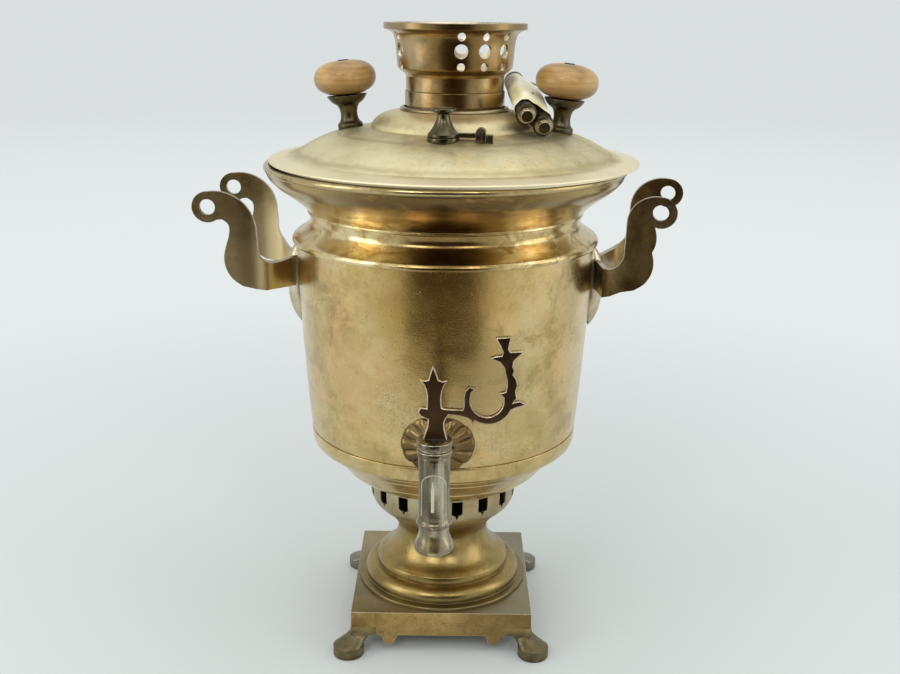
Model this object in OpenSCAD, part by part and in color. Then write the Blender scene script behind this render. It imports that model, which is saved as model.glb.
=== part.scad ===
// Samovar: a brass water urn heated by charcoal, with a jar-shaped body on a pedestal.
// A fire tube runs up beside its axis, a lid sits around it, and a pierced crown for the teapot tops it.
// Millimetres, +Z up. The origin is on the floor under the middle of the base, and the tap faces -Y.

/* [Base] */
// Width of the square base plate
base_w = 142; // [120:1:172]
// Height of the base plate's top above the floor
base_h = 35; // [30:1:44]
// Depth of the apron that hangs from the plate
apron_h = 20; // [16:1:22]
// Radius of each foot's disc
foot_r = 12; // [9:0.5:14.5]
// Thickness of the cast base
cast_t = 4; // [3:0.5:5]

/* [Pedestal] */
// Height of the pedestal from the plate to the vent ring
stem_h = 61; // [50:1:75]
// Radius of the pedestal's neck
neck_r = 36.7; // [31:0.1:42]
// Radius of the flange that sits on the plate
flange_r = 69.3; // [62:0.1:70]
// Height of the vent ring
vent_h = 32; // [28:1:38]
// Radius of the vent ring
vent_r = 59.5; // [56:0.1:66]
// Number of draught windows round the vent ring
vent_count = 17; // [12:1:18]

/* [Body] */
// Height of the rounded bowl under the wall
bowl_h = 44; // [38:1:52]
// Radius at the bottom of the wall
bead_r = 105.2; // [96:0.1:112]
// Height of the wall
wall_h = 150; // [122:1:180]
// Radius at the top of the wall
body_r = 113.8; // [112:0.1:120]
// Height of the hollow shoulder above the wall
shoulder_h = 20; // [17:0.5:24]
// Height of the flared rim from the shoulder to its lip
rim_h = 36.6; // [31:0.1:44]
// Thickness of the spun sheet
sheet = 2; // [1.5:0.1:2.6]

/* [Fire tube and crown] */
// Radius of the fire tube where it leaves the lid
tube_r = 36; // [31:0.1:36.4]
// Radius of the fire tube at the grate
tube_foot_r = 46.1; // [42:0.1:49]
// Sideways offset of the fire tube, with its lid and crown, from the middle of the body
tube_off = 6; // [0:0.5:6.5]
// Height of the crown above the fire tube
crown_h = 48.5; // [41:0.5:58]
// Radius of the crown's top rim
crown_r = 52.8; // [50:0.1:60]
// Radius of the large holes in the crown
hole_big = 5; // [4:0.1:6]
// Radius of the small holes in the crown
hole_small = 2.9; // [2.5:0.1:3.6]

/* [Lid] */
// Radius of the lid over its brim
lid_r = 139; // [137:0.1:143]
// Height of the hump around the fire tube
hump_h = 12.8; // [10.5:0.1:15]
// Turn of the lid from square with the base, in degrees
lid_turn = -6; // [-12:0.5:0]
// Distance of each knob from the fire tube's axis
knob_x = 79; // [77:0.5:84]
// Diameter of the wooden knobs
knob_d = 46.5; // [38:0.5:56]
// Height of the wooden knobs
knob_h = 25.5; // [20:0.5:30]
// Outward lean of the knobs, in degrees
knob_lean = 6; // [0:0.5:8]
// Distance of the steam cap from the fire tube's axis
cap_y = 74; // [73:0.5:76]

/* [Handles] */
// Mean distance from the axis to the handle holes
handle_x = 169.5; // [166:0.5:178]
// How far the right bracket is bent in, and the left one out
handle_bend = 2.5; // [0:0.5:5]
// Outward twist of the right bracket's rear arm, in degrees
twist_right = 12.5; // [0:0.5:13]
// Outward twist of the left bracket's rear arm, in degrees
twist_left = 0; // [0:0.5:13]
// Height of the handle holes above the floor
handle_z = 350; // [344:1:352]
// Radius of the handle holes
handle_hole_r = 5.8; // [4.5:0.1:7]
// Half of the spacing between the two arms of a bracket
arm_gap = 47; // [40:0.5:50]
// How far the eye of the right bracket's front arm is bent in over its stem
tuck_front = 7.5; // [0:0.5:8]
// How far the eye of the right bracket's rear arm is bent in over its stem
tuck_rear = 4; // [0:0.5:8]
// Thickness of the arms
arm_t = 4; // [3:0.5:5]
// Turn of the handle pair from square with the base, in degrees
handle_turn = -1; // [-12:0.5:2]

/* [Tap] */
// Distance from the axis to the middle of the tap's plug
tap_reach = 158; // [150:1:170]
// Height of the tap's shank above the floor
tap_z = 192; // [184:1:204]
// Turn of the tap from square with the base, in degrees
tap_turn = -1.8; // [-5:0.1:0]
// Thickness of the flat key
key_t = 4.6; // [3:0.2:6]
// Half of the width of the oval, fluted rosette
rosette_r = 26.5; // [22:0.5:30]
// Height of the rosette as a share of its width
rosette_flat = 0.82; // [0.8:0.01:1]
// Number of flutes on the rosette
flute_count = 12; // [8:1:14]

/* [Hidden] */
$fn = 96;

// Clearances: soldered and pressed seams, pieces that lift off, and pieces that turn in each other
seam = 0.1;
slip = 0.4;
run = 0.06;
// A length that reaches past any face of the part
far = 400;

// Heights of the joints between the pieces, from the floor up
z_cup = base_h + stem_h;
z_bowl = z_cup + vent_h;
z_wall = z_bowl + bowl_h;
z_shoulder = z_wall + wall_h;
z_rim = z_shoulder + shoulder_h;
z_lip = z_rim + rim_h;

// The lid's dome is an arc whose centre stands off the axis, and the hump stands on its inner end
brim_w = 17.7;
hump_r = 62.6;
dome_x = 60;
dome_r = 103;
dome_foot = lid_r - brim_w;
dome_z = z_lip + 5.8 - sqrt(dome_r * dome_r - (dome_foot - dome_x) * (dome_foot - dome_x));
z_dome = dome_z + sqrt(dome_r * dome_r - (hump_r - dome_x) * (hump_r - dome_x));
z_hump = z_dome + hump_h;
collar_h = 2.6;
tube_sheet = 1.6;
tube_collar_t = 1.1;
tube_collar_h = 10.5;
lid_bore = tube_r + tube_collar_t + 0.5;
z_tube = z_hump + collar_h + 1 + tube_collar_h;
sleeve_r = tube_r - tube_sheet - slip;
lid_sheet = 1.8;

// Grate and its ledge in the vent ring
grate_t = 2;
grate_r = vent_r - 3.5;
ledge_t = 1.5;
floor_t = 3;

// Rivets, and the boss that the bracket's arms are let into
boss_r = 9.2;
boss_z0 = handle_z - 98;
boss_z1 = z_shoulder - 5;
rivet_r = 2.4;
rivet_heights = [boss_z0 + 24, boss_z1 - 14];
root_y = 5.5;
// Where the splayed part of an arm ends, and where its plate ends, measured from the hole
arm_bend = 37;
arm_end = 16;

// Tap
shank_r = 9;
shank_bore_r = 4;
plug_r = 7.6;
plug_taper = 1.4;
plug_h = 30;
spout_bore_r = 5.2;
barrel_top = tap_z + 14;
barrel_bottom = tap_z - 56;
collar_top = barrel_top + 10.4;

// Steam vent
z_seat = z_dome + 0.7;
seat_r = 11.4;
cap_arm = 26;
hinge_z = z_seat + 3.6;
hinge_pin_r = 1.3;
eye_r = 3.3;
arm_w = 4.4;
cheek_t = 2;
cheek_gap = 0.3;

// Knobs, measured up from the dome along their own axis
knob_stem_h = 24;
knob_bore_r = 2.6;
knob_rod_r = 2.5;
knob_head_r = 4;
knob_nut_r = 5;
knob_nut_t = 3.5;

// Loose handle grips that lie on the lid, wrapped together
grip_r = 6.5;
grip_cap_r = 7.6;
grip_len = 89;
wrap_t = 1;
wrap_start = 15;
wrap_len = 60;
// Front end of the lower grip, from the fire tube's axis, then the rise to the rear and the inward swing
bundle_at = [63.5, -52, z_dome + 5.3];
bundle_rise = 13;
bundle_swing = 4;
// Place of the upper grip's axis, seen from the lower one's end
upper_at = [-12.8, 8.4];

// ---------------------------------------------------------------- helpers

// Points on an arc, from angle a0 to a1
function arc(cx, cy, r, a0, a1, n = 10) =
    [for (i = [0:n]) let (a = a0 + (a1 - a0) * i / n) [cx + r * cos(a), cy + r * sin(a)]];

// One point of a smooth curve between b and c, whose neighbours are a and d
function blend(a, b, c, d, t) =
    0.5 * (2 * b + (c - a) * t + (2 * a - 5 * b + 4 * c - d) * t * t
    + (3 * b - a - 3 * c + d) * t * t * t);

// A smooth curve through the given points
function curve(p, n = 3) = concat(
    [for (i = [0:len(p) - 2]) for (k = [0:n - 1])
        blend(p[max(i - 1, 0)], p[i], p[i + 1], p[min(i + 2, len(p) - 1)], k / n)],
    [p[len(p) - 1]]);

function reverse(p) = [for (i = [len(p) - 1:-1:0]) p[i]];
function unit(v) = v / norm(v);
function left_of(v) = [-v[1], v[0]];

// The same outline, moved to its left by t
function inset(p, t) = [for (i = [0:len(p) - 1])
    let (
        a = left_of(unit(p[max(i, 1)] - p[max(i, 1) - 1])),
        j = min(i, len(p) - 2),
        b = left_of(unit(p[j + 1] - p[j])),
        m = unit(a + b)
    ) p[i] + m * t / max(0.5, m * a)];

function raise(p, z) = [for (q = p) [q[0], q[1] + z]];

// A band of thickness t on the left of an outline
function band(p, t) = concat(p, reverse(inset(p, t)));

module spun(p) rotate_extrude() polygon(p);

// ---------------------------------------------------------------- base and feet

// Height at which the feet join the apron, and the width of each joint
foot_z = base_h - apron_h + 7;
foot_w = 20;
foot_c = base_w / 2 + 1.8;

module apron_lobe() {
    drop = 3.6;
    half = 9.2;
    translate([0, -drop]) circle(r = 4.6);
    difference() {
        translate([-half, -drop]) square([2 * half, drop + 0.4]);
        for (s = [-1, 1]) translate([s * half, -drop - 0.4]) circle(r = 4);
    }
}

module apron_side() {
    z0 = base_h - apron_h;
    half = base_w / 2;
    translate([0, -half + cast_t, z0]) rotate([90, 0, 0]) linear_extrude(cast_t) {
        translate([-half, 0]) square([base_w, apron_h - cast_t]);
        for (s = [-1, 1]) translate([s * base_w * 0.29, 0]) apron_lobe();
    }
}

module base_plinth() {
    half = base_w / 2;
    color("#8a7440") difference() {
        union() {
            translate([-half, -half, base_h - cast_t]) cube([base_w, base_w, cast_t]);
            for (a = [0:90:270]) rotate([0, 0, a]) apron_side();
        }
        cylinder(r = neck_r - 6, h = far);
        for (a = [0:90:270]) rotate([0, 0, a])
            translate([half - foot_w, half - foot_w, -1]) cube([foot_w + 1, foot_w + 1, foot_z + 1]);
    }
}

// Leg that flares outwards from the apron's corner to a disc
module foot(sx, sy) {
    // Middle offset, radius and height of each step of the flare
    steps = [[-8.4, 8.4, 14.4], [-5.2, 8.8, 12], [-1.9, 10.2, 9.8], [0, foot_r - 0.4, 8.2]];
    corner = base_w / 2;
    leg_z = base_h - apron_h + 1.4;
    color("#8a7440") union() {
        translate([sx * foot_c, sy * foot_c, 0]) {
            cylinder(r = foot_r - 0.6, h = 0.8);
            translate([0, 0, 0.8]) cylinder(r = foot_r, h = 7.2);
        }
        translate([sx * (corner - foot_w / 2), sy * (corner - foot_w / 2), (foot_z + leg_z) / 2])
            cube([foot_w, foot_w, foot_z - leg_z], center = true);
        hull() {
            translate([sx * (corner - foot_w / 2), sy * (corner - foot_w / 2), leg_z + 0.25])
                cube([foot_w, foot_w, 0.5], center = true);
            foot_step(sx, sy, steps[0]);
        }
        for (i = [0:2]) hull() {
            foot_step(sx, sy, steps[i]);
            foot_step(sx, sy, steps[i + 1]);
        }
    }
}

module foot_step(sx, sy, s)
    translate([sx * (foot_c + s[0]), sy * (foot_c + s[0]), s[2] - 0.5]) cylinder(r = s[1], h = 0.5, $fn = 32);

module foot_front_left() { foot(-1, -1); }
module foot_front_right() { foot(1, -1); }
module foot_rear_left() { foot(-1, 1); }
module foot_rear_right() { foot(1, 1); }

// ---------------------------------------------------------------- pedestal, vent ring and grate

cup_r = neck_r + 9.9;

module pedestal() {
    flange = [[flange_r, 0], [flange_r, 2.4], [flange_r - 0.7, 3], [flange_r - 5.2, 3.3]];
    torus = arc(flange_r - 12.8, 6.6, 7.3, -24, 88, 9);
    lip = [[neck_r + 17.2, 14], [neck_r + 17.4, 17.4], [neck_r + 16.4, 20.4], [neck_r + 13.6, 22.8]];
    flare = curve([[neck_r + 13.2, 23], [neck_r + 8.4, 26], [neck_r + 4.6, 30.4],
        [neck_r + 1.9, 35.4], [neck_r + 0.3, 40.6], [neck_r, 45], [neck_r + 1, 49], [neck_r + 3, 52.6],
        [neck_r + 6, 56.4], [cup_r, 61]]);
    grow = stem_h / 61;
    outer = [for (q = concat(flange, torus, lip, flare)) [q[0], q[1] * grow]];
    inner = curve([[flange_r - 9, 0], [neck_r + 14.4, 12], [neck_r + 12.6, 19.5], [neck_r + 4.8, 27],
        [neck_r - 0.9, 36], [neck_r - 2.4, 44], [neck_r - 1.3, 50], [neck_r + 2.8, 55.6],
        [cup_r - 2.6, 61]]);
    inner_up = [for (q = inner) [q[0], q[1] * grow]];
    color("#a98a45") spun(raise(concat(outer, reverse(inner_up)), base_h));
}

// One draught window: square at the top, with a pointed foot
module vent_window() {
    w = 8.6;
    h = 11;
    point = 4.6;
    polygon([[-w / 2, 0], [w / 2, 0], [w / 2, -h], [w / 5, -h - 1], [0, -h - point],
        [-w / 5, -h - 1], [-w / 2, -h]]);
}

module vent_ring() {
    outer = curve([[cup_r, 0], [cup_r + 4.4, 3.4], [vent_r - 4, 7.6], [vent_r - 1.7, 12],
        [vent_r - 0.5, 17], [vent_r, 24], [vent_r - 0.2, vent_h]]);
    // Azimuth of the first window, from the front
    first = -9.9;
    z_ledge = vent_h - grate_t - ledge_t;
    color("#9c8350") difference() {
        union() {
            translate([0, 0, z_cup]) spun(band(outer, 2.4));
            translate([0, 0, z_cup + z_ledge]) difference() {
                cylinder(r = vent_r - 2, h = ledge_t);
                cylinder(r = grate_r - 5, h = far, center = true);
            }
        }
        for (i = [0:vent_count - 1]) rotate([0, 0, first + i * 360 / vent_count])
            translate([0, -vent_r + 7, z_cup + z_ledge - 0.4]) rotate([90, 0, 0])
            linear_extrude(14) vent_window();
    }
}

module grate() {
    slot_w = 5;
    pitch = 9;
    rim = 6;
    color("#4a4540") translate([0, 0, z_bowl - grate_t]) difference() {
        cylinder(r = grate_r, h = grate_t);
        for (i = [-4:4]) {
            half = sqrt(max(1, (grate_r - rim) * (grate_r - rim) - i * pitch * i * pitch)) - slot_w / 2;
            translate([-half, i * pitch - slot_w / 2, -1]) cube([2 * half, slot_w, grate_t + 2]);
        }
    }
}

// ---------------------------------------------------------------- body

// Outer radius of the wall at a share t of its height
function wall_r(t) = bead_r + (body_r - bead_r) * (1 - pow(1 - t, 1.5));
wall_steps = 12;
wall_skirt = 10;
wall_outline = concat([[bead_r - 0.6, 0], [wall_r(0.012), 1.8]],
    [for (i = [1:wall_steps]) [wall_r(i / wall_steps), wall_h * i / wall_steps]]);

// The space inside the outer face of the wall and the bowl's top, grown by g, for trimming what sits on it
module wall_blank(g) translate([0, 0, z_wall]) spun(concat([[0, -wall_skirt], [bead_r + 0.3 + g, -wall_skirt],
    [bead_r + 0.3 + g, 1.8]], [for (i = [1:wall_steps]) wall_outline[i + 1] + [g, 0]], [[0, wall_h]]));

module bowl_bottom() {
    k = bowl_h / 44;
    // Bowl with three fine steps, then the flat floor
    steps = [[bead_r, 44], [bead_r + 0.2, 42.4], [bead_r - 0.3, 36], [bead_r - 1.2, 33], [bead_r - 3, 31],
        [bead_r - 4.6, 30.5], [bead_r - 5, 29.4], [bead_r - 6.8, 28.6], [bead_r - 10.2, 26.4],
        [bead_r - 13.2, 23.6], [bead_r - 14.6, 23.1], [bead_r - 15, 21.9], [bead_r - 17, 19.8],
        [bead_r - 20.6, 15.8], [bead_r - 22.8, 12.8], [bead_r - 24, 12.3], [bead_r - 24.4, 11],
        [bead_r - 26.4, 8.6], [bead_r - 30.4, 5.2], [bead_r - 35, 2.4], [bead_r - 39.5, 0.8],
        [bead_r - 43.5, 0]];
    inner = [[bead_r - 2.6, 44], [bead_r - 3, 34], [bead_r - 7.4, 29], [bead_r - 13.4, 24],
        [bead_r - 19.4, 18.4], [bead_r - 25.4, 11.8], [bead_r - 31.4, 6.8], [bead_r - 37.4, 3.8],
        [bead_r - 41, floor_t]];
    color("#b8943f") translate([0, 0, z_bowl]) difference() {
        spun(concat([[0, 0]], [for (q = reverse(steps)) [q[0], q[1] * k]],
            [for (q = inner) [q[0], q[1] * k]], [[0, floor_t]]));
        on_tube() cylinder(r = tube_foot_r + seam, h = far, center = true);
    }
}

module body_wall() {
    color("#c09a3c") difference() {
        translate([0, 0, z_wall]) spun(concat(wall_outline,
            [for (q = reverse(wall_outline)) [q[0] - sheet, q[1]]]));
        at_tap() translate([0, tap_reach - 80, tap_z]) rotate([90, 0, 0])
            cylinder(r = shank_r + seam, h = 60);
        for (a = [0, 180]) rotate([0, 0, handle_turn + a]) rivet_set(rivet_r + seam, body_r - 20, 30);
    }
}

module shoulder_ring() {
    k = shoulder_h / 20;
    outer = concat([[body_r + 0.3, -2.4], [body_r + 2.2, -2.2], [body_r + 3.1, -1], [body_r + 3.2, 0.6]],
        curve([[body_r + 2.2, 2.4], [body_r, 4 * k], [body_r - 3.8, 6.4 * k], [body_r - 7.5, 9.2 * k],
        [body_r - 9.9, 11.9 * k], [body_r - 10.7, 14.5 * k], [body_r - 10.4, 17 * k],
        [body_r - 9.5, 20 * k]]));
    inner = curve([[body_r - 12, 20 * k], [body_r - 12.9, 15 * k], [body_r - 12.1, 10.6 * k],
        [body_r - 9.4, 7.3 * k], [body_r - 5.6, 4.6 * k], [body_r - 3, 2.4 * k], [body_r - 2.4, 0]]);
    color("#b8943f") spun(raise(concat(outer, inner, [[body_r + 0.3, 0]]), z_shoulder));
}

lip_bead = 2.6;
rim_r = lid_r - 2.1;

module rim_ring() {
    k = rim_h / 36.6;
    foot = body_r - 8.9;
    // Share of the way from the foot to the lip's radius, against height
    flare = curve([[0, 2.2], [0.036, 3.6], [0.118, 6.2], [0.216, 9.2], [0.364, 12.7], [0.528, 16.3],
        [0.692, 19.7], [0.824, 23.2], [0.934, 27], [0.987, 30.4], [1, 32]]);
    reach = rim_r - 1.5 - foot;
    outer = [for (q = flare) [foot + q[0] * reach, q[1] * k]];
    cx = rim_r - lip_bead;
    cz = rim_h - lip_bead * sin(62);
    color("#b8943f") translate([0, 0, z_rim]) spun(concat(
        [[foot, 0], [foot + 0.4, 1]], outer,
        arc(cx, cz, lip_bead, -50, 62, 8), arc(cx, cz, lip_bead, 118, 200, 6),
        reverse(inset(outer, sheet)), [[foot - 2.6, 0]]));
}

// ---------------------------------------------------------------- fire tube

module on_tube() translate([tube_off, 0, 0]) children();

module fire_tube() {
    straight = z_lip + 14 - z_bowl;
    top = z_tube - z_bowl;
    outer = [[tube_foot_r, 0], [tube_foot_r, 6], [tube_r, straight], [tube_r, top]];
    color("#8f7436") on_tube() translate([0, 0, z_bowl])
        spun(concat(outer, [for (q = reverse(outer)) [q[0] - tube_sheet, q[1]]]));
}

module tube_collar() {
    color("#96702f") on_tube() translate([0, 0, z_tube - tube_collar_h]) difference() {
        cylinder(r = tube_r + tube_collar_t, h = tube_collar_h);
        translate([0, 0, -1]) cylinder(r = tube_r + seam, h = tube_collar_h + 2);
    }
}

// ---------------------------------------------------------------- handle brackets

// Side view of one arm whose hole is at ex: an eye, an arch over it, a stem, a belly and a heel at the body.
// The eye of an arm that has been bent is tucked in over its stem.
module arm_outline(ex, tuck) {
    ez = handle_z;
    root = body_r - 6;
    sx = ex + tuck;
    inner = ex + 1.5 * tuck;
    eye_ring = 11.3;
    arch_r = 29.6 - 1.2 * tuck;
    heel = [[body_r + 4, ez - 67], [sx - 33, ez - 60.5]];
    belly = curve([[sx - 24, ez - 58.6], [sx - 16.8, ez - 53.5], [sx - 12.2, ez - 46], [sx - 10.8, ez - 38],
        [sx - 12, ez - 30.5], [sx - 14.2, ez - 23.6], [ex - 15.6 + tuck / 2, ez - 17],
        [ex - 14.6 + tuck / 4, ez - 12], [ex - 10.4, ez - 8.8]]);
    polygon(concat([[root, ez - 68]], heel, belly,
        arc(ex, ez, eye_ring, -125, 80, 16),
        arc(inner - 34.6 + arch_r, ez + 11.6 - arch_r, arch_r, 80, 180, 14),
        [[inner - 35, ez - 24]],
        arc(inner - 49.2, ez - 31, 14, 8, -82, 8),
        [[root, ez - 44.6]]));
}

// Plan of one arm: it leaves the boss near the middle, splays, then runs square to the line of the holes
module arm_plan(eye, twist, s, half) {
    along = [cos(twist), -sin(twist)];
    start = [body_r + 4.5, s * (root_y + 3.5)];
    bend = eye - arm_bend * along;
    line = [[body_r - 6, s * root_y], [body_r + 1, s * root_y], start, bend - 4 * unit(bend - start),
        bend + 4 * along, eye + arm_end * along];
    polygon(concat(inset(line, half), reverse(inset(line, -half))));
}

// Everything between the floor and the ceiling of an arm's plan, for a bracket that points along +X
module arm_prism(reach, twist, s, half)
    translate([0, 0, handle_z - 90]) linear_extrude(120) arm_plan(arm_eye(reach, twist, s), twist, s, half);

// Middle of an arm's eye. The line of the holes is twisted from Y towards X.
function arm_eye(reach, twist, s) = [reach, 0] + s * arm_gap * [sin(twist), cos(twist)];

module handle_arm(reach, twist, s, tuck) {
    color("#7d6a42") difference() {
        intersection() {
            translate([0, 80, 0]) rotate([90, 0, 0]) linear_extrude(160)
                arm_outline(arm_eye(reach, twist, s)[0], tuck);
            arm_prism(reach, twist, s, arm_t / 2);
        }
        wall_blank(seam);
        translate([reach, 0, handle_z]) rotate([90, 0, -twist])
            cylinder(r = handle_hole_r, h = far / 2, center = true);
    }
}

// Slot in the boss that an arm's root is let into and soldered
module arm_slot(reach, twist, s, tuck) {
    heel_x = arm_eye(reach, twist, s)[0] + tuck - 33;
    ez = handle_z;
    intersection() {
        translate([0, 80, 0]) rotate([90, 0, 0]) linear_extrude(160)
            polygon([[body_r - 6, ez - 68 - seam], [body_r + 4, ez - 67 - seam], [heel_x, ez - 60.5 - seam],
                [heel_x, ez - 44.5 + seam], [body_r - 6, ez - 44.5 + seam]]);
        arm_prism(reach, twist, s, arm_t / 2 + seam);
    }
}

module rivet_set(r, x0, len) for (z = rivet_heights)
    translate([x0, 0, z]) rotate([0, 90, 0]) cylinder(r = r, h = len, $fn = 32);

// The tucks are the lengths for the arm on the -Y side and for its twin
module handle_boss(reach, twist, tucks) {
    mid = (boss_z0 + boss_z1) / 2;
    boss = curve([[0.05, boss_z0], [boss_r * 0.5, boss_z0 + 7], [boss_r * 0.9, boss_z0 + 18], [boss_r, mid],
        [boss_r * 0.9, boss_z1 - 14], [boss_r * 0.5, boss_z1 - 5], [0.05, boss_z1]]);
    color("#8a7440") difference() {
        translate([body_r - 0.6, 0, 0]) spun(concat([[0, boss_z0]], boss, [[0, boss_z1]]));
        wall_blank(seam);
        rivet_set(rivet_r + seam, body_r - 20, 26);
        arm_slot(reach, twist, -1, tucks[0]);
        arm_slot(reach, twist, 1, tucks[1]);
    }
}

reach_right = handle_x - handle_bend;
reach_left = handle_x + handle_bend;

module at_right() rotate([0, 0, handle_turn]) children();
module at_left() rotate([0, 0, handle_turn + 180]) children();

module handle_boss_right() { at_right() handle_boss(reach_right, twist_right, [tuck_front, tuck_rear]); }
module handle_arm_right_front() { at_right() handle_arm(reach_right, twist_right, -1, tuck_front); }
module handle_arm_right_rear() { at_right() handle_arm(reach_right, twist_right, 1, tuck_rear); }
module handle_boss_left() { at_left() handle_boss(reach_left, -twist_left, [0, 0]); }
module handle_arm_left_front() { at_left() handle_arm(reach_left, -twist_left, 1, 0); }
module handle_arm_left_rear() { at_left() handle_arm(reach_left, -twist_left, -1, 0); }

// Riveted from inside: a flat head against the wall and a shank into the boss
module handle_rivets() {
    color("#8a7440") for (a = [0, 180]) rotate([0, 0, handle_turn + a]) for (z = rivet_heights) {
        r_in = wall_r((z - z_wall) / wall_h) - sheet;
        translate([r_in - 2.3, 0, z]) rotate([0, 90, 0]) {
            cylinder(r = rivet_r, h = 8, $fn = 32);
            cylinder(r1 = rivet_r + 1, r2 = rivet_r + 2.2, h = 1.9, $fn = 32);
        }
    }
}

// ---------------------------------------------------------------- tap

module at_tap() rotate([0, 0, tap_turn]) translate([0, -tap_reach, 0]) children();

module tap_rosette() {
    wall = wall_r((tap_z - z_wall) / wall_h);
    outline = [[rosette_r - 0.6, wall - 9], [rosette_r, wall + 0.6], [rosette_r - 1.2, wall + 2.4],
        [rosette_r * 0.8, wall + 4], [rosette_r * 0.6, wall + 6.4], [rosette_r * 0.47, wall + 8.4]];
    color("#8f7a52") difference() {
        rotate([0, 0, tap_turn]) translate([0, 0, tap_z]) rotate([90, 0, 0]) difference() {
            scale([1, rosette_flat, 1]) difference() {
                spun(concat([[0, wall - 9]], outline, [[0, wall + 8.6]]));
                for (i = [0:flute_count - 1]) rotate([0, 0, (i + 0.5) * 360 / flute_count])
                    translate([rosette_r * 0.4, 0, wall + 9.6]) rotate([0, 106, 0])
                    cylinder(r1 = 2.2, r2 = 5.6, h = rosette_r);
            }
            cylinder(r = shank_r + seam, h = far);
        }
        wall_blank(seam);
    }
}

module tap_body() {
    b = barrel_bottom;
    t = barrel_top;
    shank_in = wall_r((tap_z - z_wall) / wall_h) - sheet - 4;
    spout = [[12.2, b], [13.2, b + 1.2], [13.4, b + 3.5], [12.2, b + 7.5], [10.6, b + 12], [10.3, b + 15.5],
        [11, b + 19], [12.1, b + 20.4], [12.1, b + 22.2], [11, b + 23.4], [10.7, b + 26]];
    barrel = [[10.4, b + 44], [10.9, t - 6], [11, t - 1], [10.4, t]];
    color("#8d8068") at_tap() difference() {
        union() {
            spun(concat([[0, b]], curve(spout), barrel, [[0, t]]));
            translate([0, tap_reach - shank_in, tap_z]) rotate([90, 0, 0])
                cylinder(r = shank_r, h = tap_reach - shank_in);
        }
        translate([0, 0, t - plug_h]) cylinder(r1 = plug_r - plug_taper, r2 = plug_r, h = plug_h);
        translate([0, 0, t]) cylinder(r = plug_r, h = 5);
        translate([0, 0, b - 1]) cylinder(r = spout_bore_r, h = t - plug_h - b + 2);
        translate([0, tap_reach - shank_in + 1, tap_z]) rotate([90, 0, 0])
            cylinder(r = shank_bore_r, h = tap_reach - shank_in);
        arch_panel(b + 27, tap_z - 6);
    }
}

// Shallow flat with an arched top, cut into the front of the barrel
module arch_panel(z0, z1) {
    w = 7;
    depth = 9.7;
    translate([0, -depth, 0]) rotate([90, 0, 0]) linear_extrude(10) {
        translate([-w, z0]) square([2 * w, z1 - z0 - w]);
        translate([0, z1 - w]) circle(r = w);
    }
}

module tap_plug() {
    t = barrel_top;
    port_r = 3.6;
    collar = [[plug_r - run, t], [plug_r - run, t + 0.3], [11.8, t + 0.3], [12, t + 0.8], [11.8, t + 3.4],
        [10.4, t + 4.4], [10.4, t + 5.6], [12, t + 6.6], [12.2, t + 7.8], [12, t + 10],
        [11.4, collar_top]];
    color("#8d8068") at_tap() difference() {
        union() {
            translate([0, 0, t - plug_h + 1])
                cylinder(r1 = plug_r - plug_taper - run, r2 = plug_r - run, h = plug_h - 1);
            spun(concat([[0, t]], collar, [[0, collar_top]]));
        }
        translate([0, 0, t - plug_h]) cylinder(r = port_r, h = tap_z - t + plug_h + 4);
        translate([0, 0, tap_z]) rotate([0, -90, 0]) cylinder(r = port_r, h = 20);
    }
}

// Flat key: an upright stem with a pointed crown, and a scroll arm that ends in a fan.
// Each point is measured from the plug's axis and up from the collar, and the heights are then stretched.
key_stretch = 1.045;
key_stem_left = [[-7.7, 0], [-6.4, 4.6], [-4.8, 9.3], [-4.5, 13.9], [-7, 15], [-9.6, 16.2], [-11, 18.5],
    [-10.4, 20.8], [-8.6, 21.9], [-5.3, 21.3], [-5.1, 29.4], [-5.9, 34], [-7.5, 37.4], [-10.4, 40.3],
    [-6.4, 39.8], [-4.2, 40.3], [-3.2, 44.3], [-1.3, 49.6]];
key_stem_right = [[0.7, 44.9], [2.3, 40.3], [5, 39.4], [8.6, 40.5], [6.3, 36.9], [4.8, 32.8], [4.2, 27.7],
    [4.5, 22], [6, 21.2], [18.2, 20.8]];
key_hook = [[18.9, 23], [18.8, 29.4], [19.7, 33.4], [22.4, 36.3], [26.4, 35.2], [24, 32.6]];
key_branch = [[44.9, 29.4], [42, 32.3], [46.1, 33.4], [46.7, 37], [46.6, 41], [44.7, 48.9], [42, 52.4],
    [38.7, 53.8], [35.2, 54.9], [39.3, 56.6], [43.1, 57], [43.6, 59.3], [42, 62.8], [38.9, 68.3],
    [49.1, 69.3], [48.3, 65.6], [47.5, 61.6], [48.6, 59.6], [52, 59.9], [58, 60.2], [54, 56.4],
    [51.2, 53.6], [50.7, 50], [51.9, 47.6], [50.9, 44.9], [53, 42], [54.2, 38], [53, 34], [53.7, 29.4],
    [51.8, 26.6]];
key_return = [[55.6, 27.7], [60, 25.1], [56.7, 24], [52.9, 22.8]];
key_foot = [[25.1, 11.2], [24, 13.9], [21.3, 15.6], [15.9, 16.8], [9.3, 17.3], [7.2, 14.4], [6.3, 12],
    [6.6, 7.5], [8.6, 0]];

module key_outline() scale([1, key_stretch]) polygon(reverse(concat(key_stem_left, key_stem_right, key_hook,
    arc(34.1, 27.3, 10.9, 165, 350, 12), key_branch, key_return,
    arc(35.2, 27.6, 16.2, -22, -122, 8), key_foot)));

module tap_key() {
    color("#4f4334") at_tap() translate([0, key_t / 2, collar_top]) rotate([90, 0, 0])
        linear_extrude(key_t) key_outline();
}

// ---------------------------------------------------------------- lid

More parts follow.
